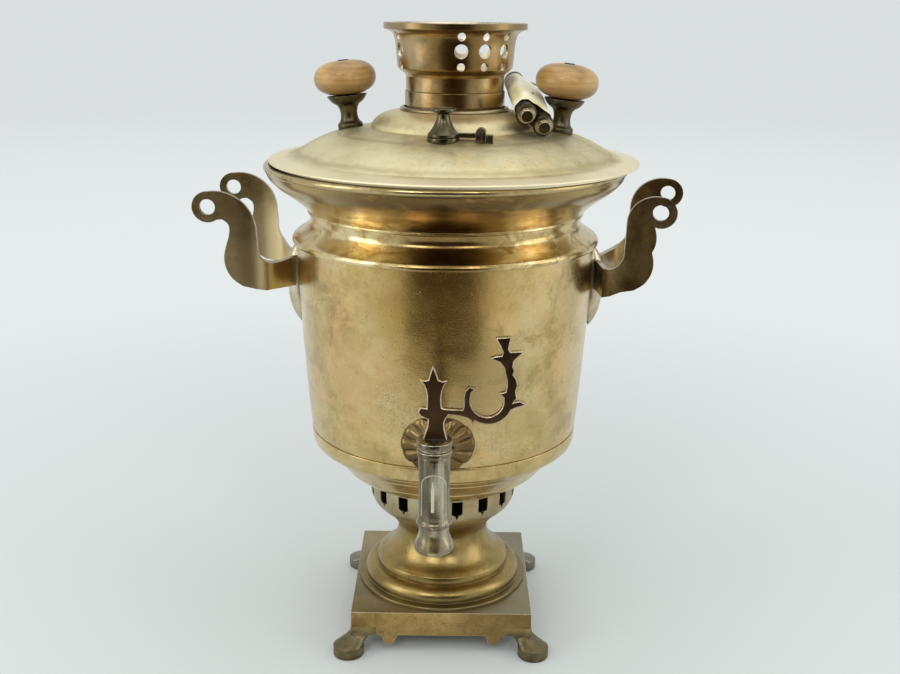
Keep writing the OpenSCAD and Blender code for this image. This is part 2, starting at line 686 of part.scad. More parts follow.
// The lid's upper face from the brim to its bore
lid_skin = concat([[lid_r - 6, z_lip + 4.4], [lid_r - 12, z_lip + 5.2]],
    arc(dome_x, dome_z, dome_r, acos((dome_foot - dome_x) / dome_r), acos((hump_r - dome_x) / dome_r), 14),
    curve([[hump_r - 0.7, z_dome + 0.21 * hump_h], [hump_r - 2.6, z_dome + 0.43 * hump_h],
    [hump_r - 6, z_dome + 0.66 * hump_h], [hump_r - 10.6, z_dome + 0.83 * hump_h],
    [hump_r - 16, z_dome + 0.94 * hump_h], [tube_r + 5, z_hump]]), [[lid_bore, z_hump]]);

function dome_at(r) = dome_z + sqrt(dome_r * dome_r - (r - dome_x) * (r - dome_x));

// The space under the lid's upper face, lifted by g, for trimming what stands on it
module lid_blank(g) on_tube()
    spun(concat([[lid_bore, z_lip - 20], [lid_r - 6, z_lip - 20]], inset(lid_skin, -g)));

module at_knob(side) on_tube() rotate([0, 0, lid_turn + side]) translate([knob_x, 0, dome_at(knob_x)])
    rotate([0, knob_lean, 0]) children();

module at_vent() on_tube() rotate([0, 0, lid_turn]) translate([0, -cap_y, 0]) children();

module lid_shell() {
    brim = [[lid_r - 5.8, z_lip], [lid_r - 3.8, z_lip], [lid_r - 3.8, z_lip + 1.7],
        [lid_r - 0.4, z_lip + 1.7], [lid_r, z_lip + 2.3], [lid_r - 0.4, z_lip + 3.2]];
    color("#c4ad5c") difference() {
        on_tube() spun(concat(brim, lid_skin, reverse(inset(lid_skin, lid_sheet))));
        for (side = [0, 180]) at_knob(side) translate([0, 0, -10])
            cylinder(r = knob_bore_r, h = 20, $fn = 32);
        at_vent() translate([0, 0, z_dome - 10]) cylinder(r = 3, h = 20, $fn = 32);
    }
}

// Skirt inside the rim, with room for the tube's offset
module lid_spigot() {
    r = lid_r - 9 - tube_off;
    color("#a98a45") on_tube() translate([0, 0, z_lip - 8]) difference() {
        cylinder(r = r, h = 11.3);
        translate([0, 0, -1]) cylinder(r = r - 2, h = 14);
    }
}

module lid_collar() {
    color("#a3823c") on_tube() translate([0, 0, z_hump]) spun([[lid_bore, 0], [tube_r + 4.6, 0],
        [tube_r + 4.9, 0.8], [tube_r + 4.6, 1.7], [tube_r + 3.6, collar_h], [lid_bore, collar_h]]);
}

// Turned stem: a flared foot, a waist and a cup that carries the wood
module knob_stem(side) {
    outline = concat([[knob_bore_r, -4], [9.2, -4]], curve([[9.5, 1.4], [9.2, 3], [7.4, 5], [6.5, 8],
        [6.4, 11.6], [7.4, 15.4], [9, 17.4]]), curve([[9.8, 17.8], [12, 19.4], [13.8, 21.6], [15, 23.6]]),
        [[15, knob_stem_h], [knob_bore_r, knob_stem_h]]);
    color("#6c6344") difference() {
        at_knob(side) spun(outline);
        lid_blank(seam);
    }
}

module knob_stem_left() { knob_stem(180); }
module knob_stem_right() { knob_stem(0); }

// Flattened ball of wood with a bore and a counterbore for the rod's head
module knob_wood(side) {
    steps = 9;
    a = knob_d / 2;
    b = knob_h / 2;
    outline = [for (i = [0:2 * steps]) let (t = -90 + 90 * i / steps, c = max(0, cos(t)), s = sin(t))
        [a * pow(c, 0.72), b * sign(s) * pow(abs(s), 0.92)]];
    color("#c99a62") at_knob(side) translate([0, 0, knob_stem_h + b]) difference() {
        spun(concat([[0, -b]], [for (i = [1:2 * steps - 1]) outline[i]], [[0, b]]));
        cylinder(r = knob_bore_r, h = far, center = true, $fn = 32);
        translate([0, 0, b - 1.6]) cylinder(r = knob_head_r + seam, h = 10, $fn = 32);
    }
}

module knob_wood_left() { knob_wood(180); }
module knob_wood_right() { knob_wood(0); }

module knob_rod(side) {
    top = knob_stem_h + knob_h;
    color("#3b362e") at_knob(side) {
        translate([0, 0, -9]) cylinder(r = knob_rod_r, h = top + 9 - 1, $fn = 32);
        translate([0, 0, top - 1.5]) cylinder(r = knob_head_r, h = 1.9, $fn = 32);
    }
}

module knob_rod_left() { knob_rod(180); }
module knob_rod_right() { knob_rod(0); }

module knob_nuts() {
    color("#3b362e") for (side = [0, 180]) at_knob(side) translate([0, 0, -3.2 - knob_nut_t]) difference() {
        cylinder(r = knob_nut_r, h = knob_nut_t, $fn = 6);
        translate([0, 0, -1]) cylinder(r = knob_bore_r, h = knob_nut_t + 2, $fn = 32);
    }
}

// ---------------------------------------------------------------- steam vent

// Level seat on the sloping dome, with a small nozzle
module steam_seat() {
    color("#8f7a40") difference() {
        at_vent() difference() {
            union() {
                translate([0, 0, z_seat - 8]) cylinder(r = seat_r, h = 8);
                translate([0, 0, z_seat - 1]) cylinder(r = 4, h = 3);
            }
            translate([0, 0, z_seat - 9]) cylinder(r = 3, h = 20, $fn = 32);
        }
        lid_blank(seam);
    }
}

// Spool-shaped cap on an arm that turns about the hinge pin
module steam_cap() {
    spool = concat([[0, 0], [10.6, 0], [10.9, 0.6], [10.8, 2.2]], curve([[10.2, 2.8], [8.4, 5], [6.6, 8],
        [5.2, 11], [4.6, 13.6], [4.7, 15.6]]), [[7.6, 16.8], [8.8, 17.6], [8.8, 19], [8.2, 19.6], [6.6, 19.8],
        [6.2, 19], [0, 19]]);
    lift = 0.12;
    color("#6d6048") at_vent() difference() {
        union() {
            translate([0, 0, z_seat + lift]) spun(spool);
            translate([8, -arm_w / 2, z_seat + lift]) cube([cap_arm - 8, arm_w, 3]);
            translate([cap_arm, arm_w / 2, hinge_z]) rotate([90, 0, 0]) cylinder(r = eye_r, h = arm_w);
        }
        translate([0, 0, z_seat - 1]) cylinder(r = 4.8, h = 4);
        translate([cap_arm, 10, hinge_z]) rotate([90, 0, 0])
            cylinder(r = hinge_pin_r + run, h = 20, $fn = 32);
    }
}

// Two cheeks on a foot that follows the dome
module steam_hinge_post() {
    y = arm_w / 2 + cheek_gap;
    back = 5;
    color("#5b4c38") difference() {
        at_vent() difference() {
            union() {
                for (s = [-1, 1]) translate([cap_arm, s * (y + cheek_t / 2), 0]) {
                    translate([0, cheek_t / 2, hinge_z]) rotate([90, 0, 0]) cylinder(r = 3.4, h = cheek_t);
                    translate([-3.4, -cheek_t / 2, z_seat - 7]) cube([6.8, cheek_t, hinge_z - z_seat + 7]);
                }
                translate([cap_arm - 3.4, -y - 0.5, z_seat - 7]) cube([6.8 + back, 2 * y + 1, 6.4]);
                translate([cap_arm + eye_r + 0.6, -y - 0.5, z_seat - 1]) cube([back - 0.5, 2 * y + 1, 3.4]);
            }
            translate([cap_arm, 10, hinge_z]) rotate([90, 0, 0])
                cylinder(r = hinge_pin_r + seam, h = 20, $fn = 32);
        }
        lid_blank(seam);
    }
}

module steam_hinge_pin() {
    len = arm_w + 2 * (cheek_t + cheek_gap) + 1.6;
    color("#3b362e") at_vent() translate([cap_arm, len / 2, hinge_z]) rotate([90, 0, 0]) {
        cylinder(r = hinge_pin_r, h = len, $fn = 32);
        cylinder(r = 2.1, h = 0.7, $fn = 32);
        translate([0, 0, len - 0.7]) cylinder(r = 2.1, h = 0.7, $fn = 32);
    }
}

// ---------------------------------------------------------------- crown

// Azimuths of the three columns of holes in each third, from the front
crown_columns = [5.5, 29, 53.5];

module crown() {
    k = crown_h / 48.5;
    wide = crown_r - 9.5;
    outer = concat([[tube_r + 0.3, 0], [tube_r + 0.4, 10.5]],
        [for (q = curve([[tube_r + 1.5, 12.6], [wide - 1.8, 15.6], [wide - 0.7, 17.8], [wide, 24.5],
        [wide + 0.7, 33], [wide + 1.5, 37.5], [wide + 3, 41], [wide + 6.4, 43.2], [crown_r - 0.3, 44]]))
        [q[0], q[1] * k]], [[crown_r, 44.4 * k], [crown_r, crown_h]]);
    inner = concat([[crown_r - 4.4, crown_h], [wide + 2.6, 44.5 * k], [wide - 0.4, 38 * k]],
        [[wide - 1.9, 24.5 * k], [wide - 2.8, 18.5 * k], [wide - 4.6, 16.4 * k], [sleeve_r + seam, 13 * k],
        [sleeve_r + seam, 0]]);
    // Height and radius of the three holes in a column
    holes = [[18.8 * k, hole_small], [29.6 * k, hole_big], [39.6 * k, hole_small]];
    color("#7f6028") difference() {
        on_tube() translate([0, 0, z_tube]) spun(concat(outer, inner));
        for (third = [0:2]) for (c = crown_columns) for (h = holes)
            on_tube() rotate([0, 0, c + third * 120]) translate([0, -25, z_tube + h[0]]) rotate([90, 0, 0])
            cylinder(r = h[1], h = 40, $fn = 32);
    }
}

// Sleeve soldered inside the crown's neck, which drops into the fire tube
module crown_sleeve() {
    drop = 12;
    color("#6b5226") on_tube() translate([0, 0, z_tube - drop]) difference() {
        cylinder(r = sleeve_r, h = drop + 9);
        translate([0, 0, -1]) cylinder(r = sleeve_r - 1.4, h = drop + 11);
    }
}

// ---------------------------------------------------------------- loose grips on the lid

module in_bundle() on_tube() translate(bundle_at) rotate([bundle_rise, 0, bundle_swing]) children();

// Turned grip with a ringed cap and a nub at each end, lying along Y
module grip(at) {
    end = [[0, 0], [4.2, 0], [4.6, 0.8], [4.6, 3.6], [6.6, 4], [grip_cap_r, 5], [grip_cap_r, 8.4],
        [grip_r - 0.5, 9.6], [grip_r, 12.5]];
    far_end = [for (q = reverse(end)) [q[0], grip_len - q[1]]];
    color("#4c4232") in_bundle() translate([at[0], 0, at[1]]) rotate([-90, 0, 0]) spun(concat(end, far_end));
}

module loose_grip_upper() { grip(upper_at); }
module loose_grip_lower() { grip([0, 0]); }

// Paper and tape wound round both grips
module grip_wrap() {
    gap = 0.15;
    // How far the fold between the grips lies below the outer face of the wrap
    fold = 0.5;
    r = grip_r + gap + wrap_t;
    color("#e2d39c") in_bundle() translate([0, wrap_start + wrap_len, 0]) rotate([90, 0, 0])
    linear_extrude(wrap_len) difference() {
        union() {
            for (c = [upper_at, [0, 0]]) translate(c) circle(r = r);
            translate(upper_at) rotate(atan2(-upper_at[1], -upper_at[0])) square([norm(upper_at), r - fold]);
        }
        for (c = [upper_at, [0, 0]]) translate(c) circle(r = grip_r + gap);
    }
}

// ---------------------------------------------------------------- assembly

base_plinth();
foot_front_left();
foot_front_right();
foot_rear_left();
foot_rear_right();
pedestal();
vent_ring();
grate();
bowl_bottom();
body_wall();
shoulder_ring();
rim_ring();
fire_tube();
tube_collar();
handle_boss_left();
handle_boss_right();
handle_arm_left_front();
handle_arm_left_rear();
handle_arm_right_front();
handle_arm_right_rear();
handle_rivets();
tap_rosette();
tap_body();
tap_plug();
tap_key();
lid_shell();
lid_spigot();
lid_collar();
knob_stem_left();
knob_stem_right();
knob_wood_left();
knob_wood_right();
knob_rod_left();
knob_rod_right();
knob_nuts();
steam_seat();
steam_hinge_post();
steam_hinge_pin();
steam_cap();
crown();
crown_sleeve();
loose_grip_upper();
loose_grip_lower();
grip_wrap();
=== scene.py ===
# %% [markdown]
# # Finishing a brass samovar
# A samovar is a water urn with a charcoal fire in its middle. The parts are already measured and
# placed in a frame, so this lesson never moves them. It gives each one the shape that its maker's
# tool left, the colour that a century of polish and tarnish left, and a studio to stand in.

# %% Load the measured parts
import math

import bmesh
import bpy
from mathutils import Matrix, Vector, noise


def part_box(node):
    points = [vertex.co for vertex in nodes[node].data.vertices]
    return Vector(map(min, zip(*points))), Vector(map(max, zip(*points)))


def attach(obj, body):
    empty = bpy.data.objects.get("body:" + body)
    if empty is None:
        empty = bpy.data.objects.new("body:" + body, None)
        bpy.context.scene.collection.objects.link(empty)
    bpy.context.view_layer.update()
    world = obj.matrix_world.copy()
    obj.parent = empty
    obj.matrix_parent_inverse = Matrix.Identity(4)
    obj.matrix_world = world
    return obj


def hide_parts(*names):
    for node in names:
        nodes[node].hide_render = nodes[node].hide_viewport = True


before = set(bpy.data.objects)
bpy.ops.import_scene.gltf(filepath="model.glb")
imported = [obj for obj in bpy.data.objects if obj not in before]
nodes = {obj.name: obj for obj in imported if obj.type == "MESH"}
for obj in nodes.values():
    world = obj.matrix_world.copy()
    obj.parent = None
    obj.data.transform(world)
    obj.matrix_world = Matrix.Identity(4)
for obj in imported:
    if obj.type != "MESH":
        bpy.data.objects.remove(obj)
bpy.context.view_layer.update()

MM = 0.001
ROOT, LID = "samovar_body", "lid"

# %% [markdown]
# ## Where the camera stands
# The camera comes first, because every later choice is judged through it. A height, a distance and a
# pitch place it, and a small roll follows the way the old samovar leans. The lens is close to a
# normal one, so near parts look larger than far ones by about as much as they do to the eye.

# %% Camera
camera_right = 4.5 * MM
camera_back = 845.6 * MM
camera_up = 492.8 * MM
pitch = math.radians(16.639)
roll = math.radians(0.65)


def new_object(name, data):
    """Puts a mesh, curve, lamp or camera into the scene as an object."""
    thing = bpy.data.objects.new(name, data)
    bpy.context.scene.collection.objects.link(thing)
    return thing


lens = bpy.data.cameras.new("studio_camera")
lens.sensor_width = 36
lens.lens = 44.53
lens.clip_start = 0.02
lens.clip_end = 60
camera = new_object("studio_camera", lens)
camera.matrix_world = (
    Matrix.Translation((camera_right, -camera_back, camera_up))
    @ Matrix.Rotation(math.pi / 2 - pitch, 4, "X")
    @ Matrix.Rotation(roll, 4, "Z")
)
bpy.context.scene.camera = camera
print("camera", round(camera_back, 3), "m in front and", round(camera_up, 3), "m up")

# %% [markdown]
# ## Shader maths as sentences
# A material in Blender is a graph of nodes. Written link by link, its meaning is hard to see. Here a
# Wire is one output socket, and Python's operators on it add the Math nodes, so that
# `1 - rust * 0.5` is a line of code and also two nodes.

# %% Wires


class Wire:
    """One output socket of a finish, which Python's operators can work on."""

    def __init__(self, finish, socket):
        self.finish = finish
        self.socket = socket

    def __add__(self, other):
        return self.finish.math("ADD", self, other)

    def __radd__(self, other):
        return self.finish.math("ADD", other, self)

    def __sub__(self, other):
        return self.finish.math("SUBTRACT", self, other)

    def __rsub__(self, other):
        return self.finish.math("SUBTRACT", other, self)

    def __mul__(self, other):
        return self.finish.math("MULTIPLY", self, other)

    def __rmul__(self, other):
        return self.finish.math("MULTIPLY", other, self)


print("a wire can be added, subtracted and multiplied")

# %% [markdown]
# ## A finish
# A Finish is one material being built. Every new node comes from its method `add`, which takes the
# node's kind, its settings and what goes into its sockets. The other methods give plain names to what a
# finisher thinks in: a fade, a noise, specks, a patch near a place, grime in the corners.

# %% Finishes


class Finish:
    """A material that is built up from expressions."""

    def __init__(self, name):
        self.material = bpy.data.materials.new(name)
        self.material.use_nodes = True
        self.tree = self.material.node_tree
        self.shader = self.tree.nodes["Principled BSDF"]

    def add(self, kind, settings=None, inputs=None, out=0):
        """Adds any node: its settings first, then the values or wires of its sockets."""
        node = self.tree.nodes.new(kind)
        for key, value in (settings or {}).items():
            if key == "stops":
                self.fill_ramp(node.color_ramp, value)
            else:
                setattr(node, key, value)
        for key, value in (inputs or {}).items():
            self.feed(node.inputs[key], value)
        return Wire(self, node.outputs[out])

    def fill_ramp(self, ramp, stops):
        while len(ramp.elements) < len(stops):
            ramp.elements.new(0.5)
        for element, (place, colour) in zip(ramp.elements, stops):
            element.position = place
            element.color = (*colour, 1)

    def feed(self, socket, value):
        if isinstance(value, Wire):
            self.tree.links.new(value.socket, socket)
        elif isinstance(value, tuple) and socket.type == "RGBA":
            socket.default_value = (*value, 1)
        else:
            socket.default_value = value

    def math(self, operation, *values):
        return self.add("ShaderNodeMath", {"operation": operation}, dict(enumerate(values)))

    def vector(self, operation, *values, out=0):
        return self.add("ShaderNodeVectorMath", {"operation": operation}, dict(enumerate(values)), out)

    def mix(self, share, a, b):
        """A colour between a and b, where share is 0 for a and 1 for b."""
        settings = {"data_type": "RGBA", "clamp_factor": True}
        return self.add("ShaderNodeMix", settings, {"Factor": share, 6: a, 7: b}, out=2)

    def ramp(self, share, stops):
        return self.add("ShaderNodeValToRGB", {"stops": stops}, {"Fac": share})

    def fade(self, value, low, high):
        """0 below low, 1 above high, and a smooth step between."""
        span = {"Value": value, "From Min": low, "From Max": high}
        return self.add("ShaderNodeMapRange", {"interpolation_type": "SMOOTHSTEP"}, span)

    def place(self):
        """The point being shaded, in metres in the frame that all parts share."""
        return self.add("ShaderNodeTexCoord", out="Object")

    def along(self, place, letter):
        """One coordinate of a place, which is "X", "Y" or "Z"."""
        return self.add("ShaderNodeSeparateXYZ", {}, {0: place}, out=letter)

    def facing(self, direction):
        """1 where the surface looks in a direction, 0 where it looks across it."""
        normal = self.add("ShaderNodeNewGeometry", out="Normal")
        return self.vector("DOT_PRODUCT", normal, direction, out="Value")

    def stretch(self, place, x, y, z):
        return self.vector("MULTIPLY", place, (x, y, z))

    def length(self, place):
        return self.vector("LENGTH", place, out="Value")

    def noise(self, place, scale, detail=4.0, rough=0.55, twist=0.0):
        grain = {"Vector": place, "Scale": scale, "Detail": detail, "Roughness": rough, "Distortion": twist}
        return self.add("ShaderNodeTexNoise", {}, grain)

    def specks(self, place, scale, size):
        """Small round spots, 1 inside a spot and 0 outside."""
        distance = self.add("ShaderNodeTexVoronoi", {}, {"Vector": place, "Scale": scale}, out="Distance")
        return 1 - self.fade(distance, size * 0.5, size)

    def near(self, place, centre, radius, soft):
        """1 within radius of a centre point, fading to 0 over the soft distance."""
        distance = self.vector("DISTANCE", place, tuple(centre), out="Value")
        return 1 - self.fade(distance, radius, radius + soft)

    def grime(self, reach):
        """1 in corners and grooves, 0 on open surfaces."""
        return 1 - self.add("ShaderNodeAmbientOcclusion", {"samples": 6}, {"Distance": reach}, out="AO")

    def emboss(self, height, depth):
        """A Bump node on the Normal socket. Height runs from 0 to 1 and depth is in metres."""
        relief = {"Strength": 1.0, "Distance": depth, "Height": height}
        self.feed(self.shader.inputs["Normal"], self.add("ShaderNodeBump", {}, relief, out="Normal"))

    def surface(self, **sockets):
        """Sets the main shader's sockets, with spaces in their names written as underscores."""
        for key, value in sockets.items():
            self.feed(self.shader.inputs[key.replace("_", " ")], value)
        print(self.material.name, "is a finish of", len(self.tree.nodes), "nodes")
        return self.material


def shaded(colour, share):
    """A colour made darker, or brighter where share is above 1."""
    return tuple(min(1.0, part * share) for part in colour)


print("half of a mid grey is", shaded((0.5, 0.5, 0.5), 0.5))

# %% [markdown]
# ## Old brass
# New brass is one bright yellow mirror. Old brass has been rubbed, handled and heated for a century, so
# it is a mirror with a skin: brown clouds of tarnish, paler rubbed fields, spots where water dried,
# dark lines in every groove and hairline marks from polishing. One function mixes these layers, and
# each part of the samovar asks for its own share of them.

# %% A function for every brass part
groove = 6 * MM
patina_depth = 0.35 * MM
copper_shift = (1.12, 0.92, 0.7)


def old_brass(name, pale, gold, brown, rough=0.3, cloud=11.0, tarnish=0.5, spots=0.4, dirt=0.7,
              grit=0.15, seed=0.0, coat=0.0, extra=None):
    """Brass with a patina. Pale, gold and brown are its colours from rubbed to tarnished.

    Cloud sets the size of its clouds, and the finer layers follow it. Extra adds a part's own marks and, on
    some parts, painted light."""
    f = Finish(name)
    here = f.vector("ADD", f.place(), (seed, seed * 0.7, seed * 1.3))
    drift = f.noise(here, cloud, 5, 0.55, 0.6)
    mottle = f.noise(here, cloud * 5, 6, 0.65, 0.3)
    grain = f.noise(here, cloud * 60, 3, 0.6)
    share = drift * 0.58 + mottle * 0.32 + grain * 0.10
    tone = f.ramp(f.fade(share, 0.33, 0.67), [(0.0, brown), (0.45, gold), (1.0, pale)])
    coppery = tuple(part * shift for part, shift in zip(pale, copper_shift))
    warm = f.fade(f.noise(here, cloud * 1.7, 5, 0.6, 0.8), 0.48, 0.7)
    tone = f.mix(warm * 0.35, tone, coppery)
    stain = f.fade(f.noise(here, cloud * 2.3, 6, 0.7, 1.2), 0.70 - 0.22 * tarnish, 0.82)
    tone = f.mix(stain * tarnish, tone, brown)
    pitted = f.noise(here, cloud * 19, 6, 0.78, 0.5)
    tone = f.mix(f.fade(pitted, 0.52, 0.66) * grit, tone, shaded(brown, 0.55))
    tone = f.mix((1 - f.fade(pitted, 0.34, 0.46)) * grit * 0.6, tone, shaded(pale, 1.3))
    dust = f.fade(f.noise(here, cloud * 1.4, 3, 0.5), 0.35, 0.7)
    spot = f.specks(here, cloud * 22, 0.16) * dust * spots
    tone = f.mix(spot, tone, shaded(brown, 0.35))
    corner = f.fade(f.grime(groove), 0.25, 0.8) * dirt
    tone = f.mix(corner, tone, shaded(brown, 0.3))
    if extra:
        tone = extra(f, f.place(), tone)
    hair = f.noise(f.stretch(here, 1, 1, 14), cloud * 16, 4, 0.7)
    gloss = rough + mottle * 0.14 - 0.07 + stain * 0.08 + corner * 0.25 + spot * 0.2
    f.emboss(hair * 0.15 + mottle * 0.5 + grain * 0.08 - spot * 0.3, patina_depth)
    return f.surface(Base_Color=tone, Metallic=1 - corner * 0.35, Roughness=gloss, Coat_Weight=coat,
                     Coat_Roughness=0.25)


print("patina", patina_depth / MM, "mm deep, grime", groove / MM, "mm into the corners")

# %% [markdown]
# ## The wall's patches
# The broad wall shows its history best: rosy and olive patches and small damp marks beside the key. Over
# the tap a deep golden brown is painted where the dark cards' reflection lies, a painted reflection tint,
# and the key's shade is painted on the wall behind the key. A patch is a ball of colour at its place on
# the wall. A noise pushes the shaded point about first, so that the ball's edge is ragged instead of round.

# %% Wall brass
push_reach = 0.05
push_middle = Vector((0.5, 0.5, 0.5)) * push_reach


def wall_patches(f, here, tone):
    push = f.add("ShaderNodeTexNoise", {}, {"Vector": here, "Scale": 30.0, "Detail": 5.0}, out="Color")
    ragged = f.vector("ADD", here, f.stretch(push, push_reach, push_reach, push_reach))
    patch = f.noise(ragged, 17, 4, 0.6, 0.4)
    tone = f.mix(f.fade(patch, 0.53, 0.64) * 0.6, tone, (0.78, 0.50, 0.21))
    tone = f.mix((1 - f.fade(patch, 0.37, 0.48)) * 0.5, tone, (0.50, 0.385, 0.155))
    blotch = f.noise(ragged, 42, 5, 0.65, 0.6)
    tone = f.mix(f.fade(blotch, 0.54, 0.66) * 0.6, tone, (0.37, 0.25, 0.085))
    # Painted reflection tint: deep golden brown where the dark cards' reflection lies on the front.
    over_tap = Vector((0.004, -0.063, 0.165)) + push_middle * 0.7
    deep = f.near(f.stretch(ragged, 1, 0.6, 0.55), over_tap, 0.018, 0.05)
    tone = f.mix(deep * 0.75, tone, (0.47, 0.285, 0.062))
    # Painted shade of the key, darkening the wall behind it.
    key_back = Vector((0.033, -0.10, 0.188)) + push_middle * 0.9
    painted_key_shade = f.near(f.stretch(ragged, 1, 1, 0.8), key_back, 0.012, 0.03)
    tone = f.mix(painted_key_shade * 0.55, tone, (0.33, 0.225, 0.08))
    rosy = f.near(ragged, Vector((-0.062, -0.09, 0.235)) + push_middle, 0.01, 0.035)
    tone = f.mix(rosy * 0.35, tone, (0.74, 0.44, 0.20))
    damp = f.fade(f.noise(here, 800, 4, 0.75), 0.45, 0.65)
    under_key = f.near(ragged, Vector((-0.036, -0.102, 0.222)) + push_middle, 0.006, 0.022)
    beside_tap = f.near(ragged, Vector((0.036, -0.10, 0.192)) + push_middle, 0.006, 0.02)
    over_key = f.near(ragged, Vector((-0.012, -0.108, 0.297)) + push_middle, 0.001, 0.007)
    tone = f.mix((under_key * 0.5 + beside_tap * 0.4) * damp, tone, (0.17, 0.11, 0.04))
    return f.mix(over_key * 0.5, tone, (0.27, 0.27, 0.20))


wall_tones = (0.73, 0.58, 0.31), (0.60, 0.44, 0.18), (0.38, 0.25, 0.08)
wall_brass = old_brass("wall_brass", *wall_tones, rough=0.25, tarnish=0.4, spots=0.6, grit=0.28, seed=3.1,
                       coat=0.4, extra=wall_patches)

# %% [markdown]
# ## Under the lip
# Nobody can polish well under a lip. The flare is brown there, in streaks that run round it, and this
# brown is painted stronger at the front and back middle, where it stands for the dark reflection. The
# lip itself is greyer. Low on the front, a soft brown patch stands between two pale ones: a painted
# reflection of the room's dark and bright in the hollow.

# %% Rim brass
flare_low, flare_high = 0.358, 0.370
lip_low, lip_high = 0.3735, 0.3755
hollow_low, hollow_high = 0.350, 0.358


def rim_tarnish_and_reflection(f, here, tone):
    streak = f.noise(f.stretch(here, 1, 1, 9), 24, 4, 0.6)
    height = f.along(here, "Z")
    lip = f.fade(height, lip_low, lip_high)
    under = f.fade(height + streak * 0.012, flare_low, flare_high) * (1 - lip)
    # Painted reflection: the brown under the lip is stronger near the front and back middle.
    centre = f.near(f.stretch(here, 1, 0, 0), (0, 0, 0), 0.04, 0.07)
    tone = f.mix(under * (0.3 + centre * 0.6), tone, (0.11, 0.056, 0.012))
    tone = f.mix(lip * 0.55, tone, (0.42, 0.33, 0.18))
    smear = f.noise(f.stretch(here, 1, 1, 2.2), 40, 6, 0.7, 0.8)
    tone = f.mix(f.fade(smear, 0.50, 0.60) * 0.6, tone, (0.32, 0.21, 0.075))
    forward = f.vector("DOT_PRODUCT", here, (0, -1, 0), out="Value")
    # Painted reflection: a brown patch between two pale ones, low on the front of the hollow.
    hollow_reflection = (1 - f.fade(height, hollow_low, hollow_high)) * f.fade(forward, 0.03, 0.07)
    ragged = f.vector("ADD", f.stretch(here, 1, 0, 0), f.stretch(streak, 0.02, 0, 0))
    brown = f.near(ragged, (0.012, 0, 0), 0.012, 0.034)
    pale = f.near(ragged, (-0.052, 0, 0), 0.012, 0.03) + f.near(ragged, (0.074, 0, 0), 0.010, 0.026)
    tone = f.mix(pale * hollow_reflection * (1 - f.fade(smear, 0.40, 0.54)) * 0.6, tone, (0.90, 0.78, 0.50))
    return f.mix(brown * hollow_reflection * 0.7, tone, (0.20, 0.11, 0.028))


rim_brass = old_brass("rim_brass", *wall_tones, rough=0.2, tarnish=0.5, spots=0.3, seed=3.1, coat=0.08,
                      extra=rim_tarnish_and_reflection)

# %% [markdown]
# ## The lid's dull gold
# A lid is handled hot and wiped often, so it is duller and paler than the wall, and palest on its brim
# and on the hump in its middle. Its front left carries a painted highlight. Dirt stays in two rings where
# the sheet turns. Steam has stained the dome beside the vent, and a dark patch under the grips is their
# painted shadow.

# %% Lid brass
lid_centre = (0.006, 0, 0)
dirt_rings = 0.0905, 0.122
dirt_width = 0.004


def lid_wear_and_light(f, here, tone):
    out = f.length(f.stretch(f.vector("SUBTRACT", here, lid_centre), 1, 1, 0))
    out = out + f.noise(here, 50, 4, 0.6) * 0.008
    tone = f.mix(f.fade(out, 0.125, 0.133) * 0.75, tone, (0.96, 0.86, 0.62))
    tone = f.mix((1 - f.fade(out, 0.060, 0.070)) * 0.6, tone, (0.90, 0.77, 0.46))
    # Painted highlight on the front left of the lid.
    left = f.near(here, (-0.085, -0.075, 0.39), 0.03, 0.05)
    tone = f.mix(left * 0.5, tone, (0.90, 0.82, 0.54))
    for radius in dirt_rings:
        ring = f.fade(out, radius - dirt_width, radius) * (1 - f.fade(out, radius, radius + dirt_width))
        tone = f.mix(ring * 0.4, tone, (0.36, 0.29, 0.14))
    stain = f.near(here, (0.016, -0.074, 0.404), 0.012, 0.05)
    stain = stain * f.fade(f.noise(here, 70, 4, 0.6), 0.35, 0.65)
    # Painted shadow: a dark patch on the dome under the grips.
    painted_grip_shadow = f.near(here, (0.062, -0.035, 0.41), 0.01, 0.03) * f.fade(f.noise(here, 60, 4, 0.6), 0.3, 0.6)
    tone = f.mix(painted_grip_shadow * 0.6, tone, (0.17, 0.13, 0.08))
    return f.mix(stain * 0.4, tone, (0.28, 0.24, 0.15))


lid_brass = old_brass("lid_brass", (0.73, 0.66, 0.43), (0.64, 0.56, 0.33), (0.45, 0.37, 0.19), rough=0.5,
                      cloud=16.0, tarnish=0.3, spots=0.35, dirt=0.5, grit=0.25, seed=8.4, extra=lid_wear_and_light)

# %% [markdown]
# ## The heated crown
# The crown and the flue's collar stand in the hot draught, so their brass has turned a reddish brown.
# The crown carries a painted highlight on its left and nearly black painted shade on its right front,
# and it is dark on its upper lip.

# %% Crown brass
crown_lip = 0.4735, 0.4755


def crown_heat_and_light(f, here, tone):
    # Painted light: a pale patch on the crown's left and a nearly black patch of shade on its right front.
    pale = f.near(f.stretch(here, 1, 1, 0.4), (-0.040, -0.022, 0.184), 0.012, 0.026)
    dark = f.near(f.stretch(here, 1, 1, 0.3), (0.012, -0.05, 0.137), 0.006, 0.03)
    tone = f.mix(pale * 0.5, tone, (0.68, 0.55, 0.33))
    tone = f.mix(dark * 0.5, tone, (0.12, 0.055, 0.014))
    return f.mix(f.fade(f.along(here, "Z"), *crown_lip) * 0.4, tone, (0.15, 0.11, 0.05))


crown_brass = old_brass("crown_brass", (0.46, 0.33, 0.155), (0.31, 0.195, 0.072), (0.15, 0.078, 0.021),
                        rough=0.25, tarnish=0.35, spots=0.2, seed=12.9, extra=crown_heat_and_light)

# %% [markdown]
# ## Base, feet and pedestal
# The top of the base gathers dust and water, so it is greyer than the apron under it, and the apron
# darkens to the right. A cast foot is olive at the ground and takes on the apron's brass further up,
# and the rear feet are dusty. Polish never reaches the pedestal's flange against the base.

# %% Base brass


